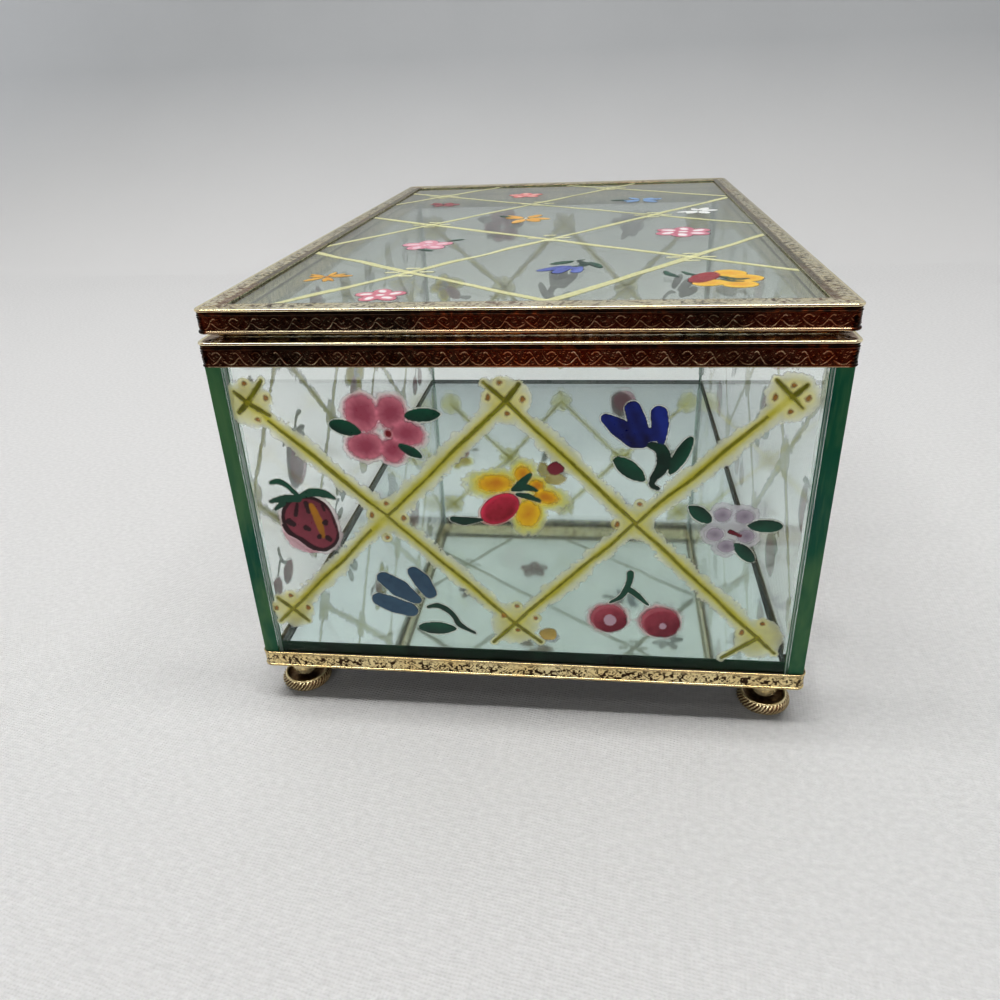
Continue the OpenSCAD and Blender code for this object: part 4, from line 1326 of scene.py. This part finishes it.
# ---- generic trellis for the other panes
def grid(cols, rows, dx, dz, x0, z0, seed):
    """Crossings of a diagonal trellis and the lines that join them."""
    pts = {}
    for i in range(cols):
        for j in range(rows):
            if (i + j) % 2 == 0:
                pts[i, j] = (x0 + dx * i + 1.3 * math.sin(seed + i * 1.7 + j), z0 + dz * j + 0.9 * math.cos(seed * 2 + i + j * 2.1))
    segs = [(pts[a], pts[b]) for a in pts for b in ((a[0] + 1, a[1] + 1), (a[0] + 1, a[1] - 1)) if b in pts]
    return list(pts.values()), segs


S_PTS, S_SEGS = grid(8, 3, 24.2, 23.8, -84.7, 22.4, 1.3)
B_PTS, B_SEGS = grid(5, 3, 24.1, 23.8, -48.2, 22.4, 4.1)


def side_painter(pts, segs, seed, motifs, halo=0.8):
    nodes = []
    for k, (x, y) in enumerate(pts):
        w = 0.5 + 0.25 * abs(math.sin(k * 1.7 + seed))
        arms = ((3.0 + math.sin(k), 3.4, w), (-3.3, -2.6 - math.cos(k), w), (-2.9, 2.8, w * 0.8), (3.2, -2.8, w * 0.8)) if k % 3 else ()
        dots = [(3.3 * math.cos(a) + 0.5 * math.sin(k * 3 + a), 3.2 * math.sin(a) + 0.4 * math.cos(k * 2 + a)) for a in (0.1, 1.6, 3.2, 4.7)]
        nodes.append((x, y, 4.3 + 0.4 * math.sin(k * 1.3), arms, dots))

    def run(cv):
        if cv.layer == "wash":
            trellis_wash(cv, segs, nodes, halo, 1.2, seed)
        for fn, x, y, kw in motifs:
            fn(cv, x, y, **kw)
        if cv.layer == "solid":
            trellis_lines(cv, segs, nodes, seed + 1)
    return run


RIGHT = [(lilac, -84.7 + 24.2 * 1, 22.4 + 23.8 * 2 + 0.5, dict(seed=11, k=0.85)), (sprig, -84.7 + 24.2 * 2, 46.5, dict(seed=12)),
         (strawberry, -84.7 + 24.2 * 1, 23.5, dict(seed=13, k=0.82)), (pink, -84.7 + 24.2 * 3, 69, dict(seed=14, k=0.8)),
         (tulip, -84.7 + 24.2 * 4 - 1, 50.5, dict(seed=15, k=0.95)), (cherries, -84.7 + 24.2 * 3, 24, dict(seed=16, k=0.85)),
         (yellow_rosebud, -84.7 + 24.2 * 6 + 1, 46.5, dict(seed=17, k=0.9)), (sprig, -84.7 + 24.2 * 5, 68, dict(seed=18, k=0.75, flip=-1)),
         (pink, -84.7 + 24.2 * 5, 23.5, dict(seed=19, k=0.75)), (lilac, -84.7 + 24.2 * 7 - 3, 68, dict(seed=20, k=0.7)),
         (strawberry, -84.7 + 24.2 * 0 + 2, 46, dict(seed=31, k=0.75)), (cherries, -84.7 + 24.2 * 7 - 5, 26, dict(seed=32, k=0.7))]
LEFT = [(pink, -84.7 + 24.2 * 2, 46.5, dict(seed=41, k=0.95)), (tulip, -84.7 + 24.2 * 1, 68.5, dict(seed=42, k=0.62)),
        (cherries, -84.7 + 24.2 * 1, 24, dict(seed=43, k=0.85)), (yellow_rosebud, -84.7 + 24.2 * 4, 46.5, dict(seed=44, k=0.9, flip=-1)),
        (sprig, -84.7 + 24.2 * 3, 68, dict(seed=45, k=0.75)), (lilac, -84.7 + 24.2 * 3, 23.5, dict(seed=46, k=0.85)),
        (strawberry, -84.7 + 24.2 * 6, 45.8, dict(seed=47)), (pink, -84.7 + 24.2 * 5, 69, dict(seed=48, k=0.72)),
        (sprig, -84.7 + 24.2 * 5 - 1, 24.5, dict(seed=49, k=0.72)), (lilac, -84.7 + 24.2 * 0 + 3, 46, dict(seed=50, k=0.75)),
        (smallbud, -84.7 + 24.2 * 7 - 5, 68, dict(seed=52, k=1.3)), (cherries, -84.7 + 24.2 * 7 - 5, 26, dict(seed=53, k=0.7))]
BACK = [(lilac, -24.1, 69, dict(seed=61, k=0.8)), (strawberry, -24.1, 23.6, dict(seed=62, k=0.85)), (tulip, 0.5, 50.5, dict(seed=63, k=0.9)),
        (pink, 24.1, 69, dict(seed=64, k=0.8)), (cherries, 24.1, 24.5, dict(seed=65, k=0.85)), (sprig, -44.5, 46.5, dict(seed=66, k=0.7)),
        (yellow_rosebud, 45, 46.5, dict(seed=67, k=0.7))]

cells = dict(front=(0.24, 0.19), side=(0.42, 0.3), lid=(0.6, 0.24))
GZ0, GZ1 = 13.2, 75.9
lay("front_paint_ground", (-52.6, 52.6, GZ0, GZ1), cells["front"][0], "wash", paint_front, place_front, "case", False, lift=0.012, flipped=False)
lay("front_paint_strokes", (-52.6, 52.6, GZ0, GZ1), cells["front"][1], "solid", paint_front, place_front, "case", True, lift=0.04)
for nm, pts, segs, sd_, mot, half, plc in (
        ("back", B_PTS, B_SEGS, 71, BACK, 52.6, place_back), ("right", S_PTS, S_SEGS, 73, RIGHT, 88.9, place_right),
        ("left", S_PTS, S_SEGS, 75, LEFT, 88.9, place_left)):
    pn = side_painter(pts, segs, sd_, mot)
    lo, hi = (-half, half)
    if nm == "right":
        lo, hi = YC - half, YC + half
    if nm == "left":
        lo, hi = -YC - half, -YC + half
    lay(nm + "_paint_ground", (lo, hi, GZ0, GZ1), cells["side"][0], "wash", pn, plc, "case", False, lift=0.012)
    lay(nm + "_paint_strokes", (lo, hi, GZ0, GZ1), cells["side"][1], "solid", pn, plc, "case", True, lift=0.04)


# ---- lid
L_V1, L_V2 = (26.0, 36.5), (33.0, -26.0)
L_CROSS = [(-24.4, -58.1), (-31.6, 2.6), (-39.1, 62.7), (1.8, -21.4), (-5.6, 39.4), (28.0, 11.6), (33.0, -47.2), (16.8, 73.3)]
LID_LINE, LID_LINE_D = lin(236, 234, 188), lin(206, 206, 136)
L_W, L_D = 51.6, 84.6


def lid_lines():
    """Each family of lines runs right across the pane through its crossings."""
    segs = []
    fam1 = [((-24.4, -58.1), (28.0, 11.6)), ((-31.6, 2.6), (16.8, 73.3)), ((7.9, -80.6), (33.0, -47.2)), ((-39.1, 62.7),)]
    fam2 = [((-24.4, -58.1), (3.8, -82.2)), ((-31.6, 2.6), (33.0, -47.2)), ((-39.1, 62.7), (28.0, 11.6)), ((16.8, 73.3),)]
    for fam, (dx, dy) in ((fam1, L_V1), (fam2, L_V2)):
        for pts in fam:
            a, b = pts[0], pts[-1]
            if a == b:
                ux, uy = dx, dy
            else:
                ux, uy = b[0] - a[0], b[1] - a[1]
            L = math.hypot(ux, uy)
            ux, uy = ux / L, uy / L
            ts = []
            for lim, u, p in ((L_W, ux, a[0]), (L_D, uy, a[1])):
                ts.append(sorted(((-lim - p) / u, (lim - p) / u)))
            t0, t1 = max(ts[0][0], ts[1][0]), min(ts[0][1], ts[1][1])
            if t1 > t0:
                segs.append(((a[0] + ux * t0, a[1] + uy * t0), (a[0] + ux * t1, a[1] + uy * t1)))
    return segs


L_SEGS = lid_lines()


def paint_lid(cv):
    if cv.layer == "wash":
        return
    U, V = cv.U, cv.V
    for k, ((x0, y0), (x1, y1)) in enumerate(L_SEGS):
        L = math.hypot(x1 - x0, y1 - y0)
        ux, uy = (x1 - x0) / L, (y1 - y0) / L
        t = (U - x0) * ux + (V - y0) * uy
        q = -(U - x0) * uy + (V - y0) * ux
        near = np.nonzero(np.abs(q) < 2)[0]
        tt, qq = t[near], q[near]
        wob = (vnoise(tt * 0.11, np.full_like(tt, k * 5.3), 81) - 0.5) * 0.7
        bold = 1.9 if k == 2 else 1.7 if k in (0, 4, 5) else 1.35
        ww = bold * (0.7 + 0.6 * vnoise(tt * 0.09, np.full_like(tt, k * 2.9), 82)) / 2
        n = fbm(tt * 2.2, qq * 4, 83, 2) - 0.5
        s = np.clip(0.55 + n * 1.3, 0, 1)[:, None]
        cv.put(near, np.abs(qq - wob) - ww + n * 0.22, LID_LINE * s + LID_LINE_D * (1 - s), 0.16, 0.96, 0.09)
    for x, y in L_CROSS:
        for a in (0, 90, 180, 270):
            c, s = math.cos(math.radians(a)), math.sin(math.radians(a))
            i2, lx, ly = cv.near(x + 3.6 * c, y + 3.6 * s, 3)
            if len(i2):
                cv.put(i2, stroke(lx, ly, [(-1.1, 0), (1.1, 0.1)], [1.15, 0.95]) + (fbm(lx * 2, ly * 2, 85, 2) - 0.5) * 0.25, LID_LINE, 0.14, 0.96, 0.1)
    daisy(cv, -40.8, -61.4, lin(236, 186, 62), lin(208, 146, 26), lin(180, 110, 20), n=8, r=4.2, wide=1.5, seed=1)
    ovals(cv, -25.6, -77.6, lin(220, 138, 152), lin(192, 92, 112), lin(244, 238, 238), n=5, seed=2, k=1.05)
    ovals(cv, -26.8, -27.7, lin(228, 166, 180), lin(206, 124, 146), lin(238, 206, 214), n=5, seed=3, k=1.35, leaves=((0.6, -4.6, 3.6, 1.3, -30, 1), (4.4, 4.4, 3.4, 1.2, 30, 1)))
    daisy(cv, -6.6, 10.2, lin(240, 196, 104), lin(224, 162, 52), lin(246, 240, 226), n=6, r=6.8, wide=3.0, seed=4, leaves=((-6.4, 4.6, 4.4, 1.8, 140, 1),))
    tulip(cv, 6.6, -57.6, blue=(lin(100, 118, 192), lin(52, 66, 148)), rot=184, k=0.8, flip=-1, seed=5, halo=0)
    ovals(cv, 33.8, -16.4, lin(214, 128, 148), lin(184, 92, 116), lin(248, 240, 242), n=6, seed=6, k=1.5)
    daisy(cv, 40.6, 16.8, lin(248, 248, 246), lin(236, 238, 236), None, n=6, r=5.2, wide=2.7, seed=7)
    daisy(cv, 25.9, 42.0, lin(150, 184, 220), lin(108, 146, 196), None, n=6, r=5.6, wide=2.6, seed=8, leaves=((-6.8, 0.8, 5.0, 2.0, 175, 1),))
    ovals(cv, -11.2, 60.6, lin(222, 120, 118), lin(196, 84, 84), lin(240, 200, 190), n=5, seed=9, k=1.25)
    daisy(cv, -35.8, 43.0, lin(170, 84, 92), lin(130, 50, 60), lin(90, 50, 40), n=6, r=4.4, wide=2.6, seed=10)
    m = Motif(cv, 37.6, -67.6, r=14, seed=11, halo=0)
    for cx, cy, rx, ry, an in ((1.2, 4.4, 3.1, 3.2, 20), (3.4, 0.2, 3.3, 3.0, 0), (-3.4, -3.4, 3.3, 2.5, 20), (1.7, -4.7, 3.3, 2.8, 0)):
        sd = ell(m.x, m.y, cx, cy, rx, ry, an)
        m.solid(sd, m.grad(np.clip(-sd / (0.8 * ry), 0, 1) * 0.9, lin(240, 196, 64), lin(222, 160, 28)), 0.3, 1, 0.06, 0.3)
    sd = ell(m.x, m.y, -4.0, 1.0, 5.0, 2.4, 62)
    m.solid(sd, m.grad(0.5 - m.y * 0.08, lin(160, 50, 56), lin(126, 20, 34)), 0.14, 1, 0.09, 0.15)
    for pts, w in (([(-0.6, 1.5), (1.6, -0.8), (3.8, -0.4)], (0.9, 1.6, 0.7)), ([(-1.2, -0.6), (0.6, -2.2), (2.6, -2.6)], (0.8, 1.4, 0.6)),
                   ([(-7.4, 6.4), (-6.4, 4.2), (-5.6, 3.4)], (0.6, 1.5, 1.0)), ([(-8.8, 2.0), (-10.2, 4.4), (-10.8, 7.2)], (0.7, 1.8, 0.6))):
        m.stem(pts, w)


def lid_nowash(cv):
    paint_lid(cv)


lay("lid_paint_strokes", (-L_W, L_W, -L_D, L_D), cells["lid"][1], "solid", paint_lid, place_lid, "lid", True, lift=0.02)


# ---------------------------------------------------------------- feet
def turned(name, cx, cy, prof, seg, shape=None, mats=(), close=True):
    """Surface of revolution from (r, z) points; shape(theta, r, z) -> r, z, patina."""
    th = np.arange(seg) / seg * 2 * math.pi
    R = np.repeat(np.array([p[0] for p in prof])[None, :], seg, 0)
    Z = np.repeat(np.array([p[1] for p in prof])[None, :], seg, 0)
    T = np.repeat(th[:, None], len(prof), 1)
    pat = np.full_like(R, 0.2)
    if shape:
        R, Z, pat = shape(T, R, Z)
    m = len(prof)
    verts = np.stack([(cx + R * np.cos(T)).ravel(), (cy + R * np.sin(T)).ravel(), Z.ravel()], 1)
    i, j = np.arange(seg)[:, None], np.arange(m - 1)[None, :]
    quads = np.stack([(i * m + j).ravel(), (((i + 1) % seg) * m + j).ravel(), (((i + 1) % seg) * m + j + 1).ravel(), (i * m + j + 1).ravel()], 1)
    n = len(verts)
    verts = np.concatenate([verts, [[cx, cy, prof[0][1]], [cx, cy, prof[-1][1]]]])
    pat = np.concatenate([pat.ravel(), [pat[0, 0], pat[0, -1]]])
    k = np.arange(seg)
    tri = np.concatenate([np.stack([np.full(seg, n), ((k + 1) % seg) * m, k * m], 1),
                          np.stack([np.full(seg, n + 1), k * m + m - 1, ((k + 1) % seg) * m + m - 1], 1)])
    return mesh_from(name, verts, [quads, tri], list(mats), attrs={"patina_and_shade": np.clip(pat, 0, 1)})


def foot_profile():
    p = [(3.6, 0.0), (3.95, 0.02), (4.1, 0.1)]
    for k in range(13):                                   # roped band
        a = math.radians(-62 + 124 * k / 12)
        p.append((4.12 + 1.38 * math.cos(a), 1.45 + 1.3 * math.sin(a)))
    p += [(4.62, 2.66), (4.66, 2.78), (4.58, 2.88), (4.42, 2.9), (4.24, 2.84), (4.12, 2.7)]    # upper rim line
    p += [(4.0, 2.42), (3.6, 2.24), (3.0, 2.2), (2.5, 2.2)]
    return p


def foot_shape(T, R, Z):
    band = sstep(0.2, 0.5, Z) * sstep(2.66, 2.45, Z) * (R > 4.2)
    ph = 39 * T - (Z - 1.45) * 6.6 + 0.4 * np.sin(T * 7) + 0.25 * np.sin(T * 23 + Z * 5)
    ridge = np.abs(np.sin(ph / 2)) ** 0.9
    cross = np.abs(np.sin(26 * T + (Z - 1.45) * 3.0 + 0.4 * np.sin(T * 11)))
    notch = sstep(0.45, 0.1, cross)
    pat = 0.06 + np.maximum(1.2 * sstep(0.97, 0.70, ridge), 0.7 * notch) * band
    pat = np.where((Z > 2.15) & (R < 4.15), 0.92, pat)
    pat = np.where(Z < 0.2, 0.7, pat)
    return R - (0.5 * (1 - ridge) + 0.10 * notch) * band, Z, pat


def post_profile():
    return [(1.2, 2.16), (1.25, 2.4), (1.6, 2.62), (2.1, 2.9), (2.5, 3.35), (2.78, 4.0), (2.92, 4.8), (3.0, 5.6), (3.05, 6.5),
            (3.1, 7.4), (3.13, 8.0), (3.15, 8.35), (3.16, 8.58), (2.6, 8.6)]


def post_shape(T, R, Z):
    pat = 0.9 * sstep(3.0, 2.6, Z) + 0.5 * sstep(8.2, 8.5, Z)
    pat = pat + 0.25 * fbm(T * 3.0, Z * 1.2, 5, 3)
    return R + 0.015 * np.sin(T * 3), Z, pat


for sx, nx_ in ((-1, "left"), (1, "right")):
    for sy, ny_ in ((-1, "front"), (1, "back")):
        cx, cy = sx * 50.5, YC + sy * 83.5
        f = turned("%s_%s_foot_roped" % (ny_, nx_), cx, cy, foot_profile(), 620, foot_shape, [FOOT])
        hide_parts("%s_%s_foot" % (ny_, nx_))
        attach(f, "case")
        p = turned("%s_%s_post_turned" % (ny_, nx_), cx, cy, post_profile(), 48, post_shape, [FOOT])
        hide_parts("%s_%s_post" % (ny_, nx_))
        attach(p, "case")


# ---------------------------------------------------------------- CAD nodes
def dress(name, mat):
    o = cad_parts[name]
    o.data.materials.clear()
    o.data.materials.append(mat)
    return o


for nm in ("left_rim_hinge_leaf", "right_rim_hinge_leaf", "left_lid_hinge_leaf", "right_lid_hinge_leaf"):
    dress(nm, HINGE)
for nm in ("left_hinge_pin", "right_hinge_pin"):
    dress(nm, PIN)
dress("backing_card", CARD)
adh = dress("corner_adhesive", ADHESIVE)
adh.visible_shadow = False
adh.visible_diffuse = False


# ---------------------------------------------------------------- stage
def melt(nt, p, colour):
    """Away from the box the sheet fades from its own colour to black and glows instead with an even emitted tone, a
    glow like the world's.
    """
    ln = nt.nodes.new("ShaderNodeVectorMath")
    ln.operation = "LENGTH"
    nt.links.new(coords(nt), ln.inputs[0])
    k = grey(nt, math_node(nt, "MULTIPLY", ln.outputs["Value"], 0.5), [(0.36, 0.0), (0.65, 1.0)])
    nt.links.new(mix(nt, k, colour, (0.0, 0.0, 0.0)), p.inputs["Base Color"])
    p.inputs["Emission Color"].default_value = (0.93, 0.96, 1.0, 1)
    nt.links.new(math_node(nt, "MULTIPLY", k, 0.6), p.inputs["Emission Strength"])
    nt.links.new(math_node(nt, "SUBTRACT", 1.0, k), p.inputs["Specular IOR Level"])


def cloth():
    m, nt, p = new_mat("pale_cloth")
    v = coords(nt)
    n = noise(nt, v, 260, 2)
    w = noise(nt, coords(nt, (1, 1.6, 1)), 620, 2)
    c = ramp(nt, w, [(0.3, (0.66, 0.655, 0.65)), (0.7, (0.74, 0.735, 0.73))])
    melt(nt, p, c)
    p.inputs["Roughness"].default_value = 0.85
    # woven threads, 0.9 mm apart, running aslant and a little uneven
    xyz = nt.nodes.new("ShaderNodeSeparateXYZ")
    nt.links.new(coords(nt), xyz.inputs[0])
    off = math_node(nt, "MULTIPLY", noise(nt, coords(nt), 180, 3), 7.0)
    dx_ = math_node(nt, "ADD", math_node(nt, "MULTIPLY", xyz.outputs[0], 5600.0), math_node(nt, "MULTIPLY", xyz.outputs[1], 4200.0))
    dy_ = math_node(nt, "ADD", math_node(nt, "MULTIPLY", xyz.outputs[0], -3600.0), math_node(nt, "MULTIPLY", xyz.outputs[1], 5200.0))
    wx = math_node(nt, "SINE", math_node(nt, "ADD", dx_, off), 0.0)
    wy = math_node(nt, "SINE", math_node(nt, "ADD", dy_, off), 0.0)
    weave = math_node(nt, "MULTIPLY", wx, wy)
    bump(nt, p, math_node(nt, "ADD", math_node(nt, "MULTIPLY", weave, 0.34), mix(nt, 0.5, n, w)), 0.55, 0.0003)
    return m


def wall():
    m, nt, p = new_mat("pale_wall")
    n = noise(nt, coords(nt), 6, 3)
    sheet = ramp(nt, n, [(0.3, (0.42, 0.43, 0.44)), (0.7, (0.45, 0.46, 0.47))])
    z = nt.nodes.new("ShaderNodeSeparateXYZ")
    nt.links.new(coords(nt), z.inputs[0])
    # the wall is lighter at its foot, up to about 0.14 m, and above 0.2 to 0.3 m than in the band between; the lighter
    # upper wall is painted light, so metal and mirror reflect a brighter backdrop
    rise = grey(nt, math_node(nt, "MULTIPLY", z.outputs[2], 7.0), [(0.0, 0.0), (1.0, 1.0)])
    high = grey(nt, z.outputs[2], [(0.20, 0.0), (0.30, 1.0)])
    low = mix(nt, rise, (0.70, 0.695, 0.69), sheet)
    melt(nt, p, mix(nt, high, low, (0.66, 0.67, 0.67)))
    p.inputs["Roughness"].default_value = 0.9
    return m


def sheet_mesh(name, pts, mat, x0=-1.6, x1=1.6):
    """A long bent sheet: pts are (y, z) in metres."""
    v = [(x * 1000, y * 1000, z * 1000) for y, z in pts for x in (x0, x1)]
    f = [[2 * k, 2 * k + 1, 2 * k + 3, 2 * k + 2] for k in range(len(pts) - 1)]
    o = mesh_from(name, v, [f], [mat], smooth=True)
    return o


floor = sheet_mesh("floor_cloth", [(-1.8, 0.0), (0.36, 0.0)], cloth())
back = [(0.36, 0.0)] + [(0.36 + 0.26 * math.sin(math.radians(a)), 0.26 - 0.26 * math.cos(math.radians(a))) for a in range(5, 91, 5)] + [(0.62, 1.6)]
backdrop = sheet_mesh("backdrop", back, wall())


def dark():
    m, nt, p = new_mat("dark_card")
    n = noise(nt, coords(nt), 5, 3)
    nt.links.new(ramp(nt, n, [(0.44, (0.018, 0.007, 0.004)), (0.60, (0.26, 0.040, 0.010))]), p.inputs["Base Color"])
    p.inputs["Roughness"].default_value = 0.9
    return m


DARK = dark()


def only_glossy(o):
    o.visible_camera = o.visible_diffuse = o.visible_transmission = o.visible_shadow = False
    o.visible_glossy = True
    return o


only_glossy(sheet_mesh("dark_reflector_floor", [(-1.5, 0.0015), (-0.215, 0.0015)], DARK, -1.6, 1.6))
only_glossy(sheet_mesh("dark_reflector_card", [(-0.8, 0.0), (-0.8, 0.7)], DARK, -1.6, 1.6))


def area(name, loc, target, size, power, colour=(1, 1, 1), size_y=None):
    d = bpy.data.lights.new(name, "AREA")
    d.shape = "RECTANGLE"
    d.size, d.size_y = size, size_y or size
    d.energy = power
    d.color = colour
    o = bpy.data.objects.new(name, d)
    o.location = loc
    o.rotation_euler = (Vector(target) - Vector(loc)).to_track_quat("-Z", "Y").to_euler()
    o.visible_camera = o.visible_glossy = o.visible_transmission = False     # no lamp shapes in the mirror
    scene.collection.objects.link(o)
    return o


area("top_strip", (-0.05, -0.09, 1.15), (-0.05, -0.09, 0), 1.4, 9.7, (1.0, 0.995, 0.985), 0.2)
area("back_soft", (-0.3, 0.3, 1.0), (-0.1, 0.45, 0), 0.9, 1.5, (1.0, 1.0, 1.0), 0.4)
area("fill_front", (-0.1, -1.5, 0.36), (0, 0, 0.04), 1.2, 7.7, (0.99, 0.995, 1.0), 0.34)
# seen only by the metal: it draws the bright lines along the beads
glint = area("glint_strip", (0.0, -0.55, 1.0), (0, 0, 0.05), 1.4, 7.5, (1.0, 0.985, 0.95), 0.13)
glint.visible_glossy = True
glint.visible_diffuse = False

w = bpy.data.worlds.new("soft_world")
scene.world = w
w.use_nodes = True
nt = w.node_tree
bg = nt.nodes["Background"]
bg.inputs["Color"].default_value = (0.93, 0.96, 1.0, 1)
bg.inputs["Strength"].default_value = 0.6
w.cycles_visibility.diffuse = False

# ---------------------------------------------------------------- camera
cam_d = bpy.data.cameras.new("camera")
cam_d.sensor_width = 36.0
cam_d.lens = 29.03
cam_d.clip_start, cam_d.clip_end = 0.01, 20
cam = bpy.data.objects.new("camera", cam_d)
scene.collection.objects.link(cam)
rx, ry, rz = 0.4788, -0.0441, 0.1389
cz, sz = math.cos(rz), math.sin(rz)


def yaw(v):
    return Vector((cz * v[0] - sz * v[1], sz * v[0] + cz * v[1], v[2]))


right = yaw((1, 0, 0))
fwd = yaw((0, math.cos(rx), -math.sin(rx)))
up = yaw((0, math.sin(rx), math.cos(rx)))
r2 = math.cos(ry) * right + math.sin(ry) * up
u2 = -math.sin(ry) * right + math.cos(ry) * up
from mathutils import Matrix
M = Matrix(((r2.x, u2.x, -fwd.x, 0.015167), (r2.y, u2.y, -fwd.y, -0.224275), (r2.z, u2.z, -fwd.z, 0.120068), (0, 0, 0, 1)))
cam.matrix_world = M
scene.camera = cam

scene.view_settings.view_transform = "Standard"
scene.view_settings.look = "Medium High Contrast"
cy_ = scene.cycles
cy_.max_bounces = 20
cy_.diffuse_bounces = 3
cy_.glossy_bounces = 10
cy_.transmission_bounces = 16
cy_.transparent_max_bounces = 32
cy_.caustics_reflective = False
cy_.caustics_refractive = False
cy_.sample_clamp_indirect = 6.0
cy_.use_denoising = True
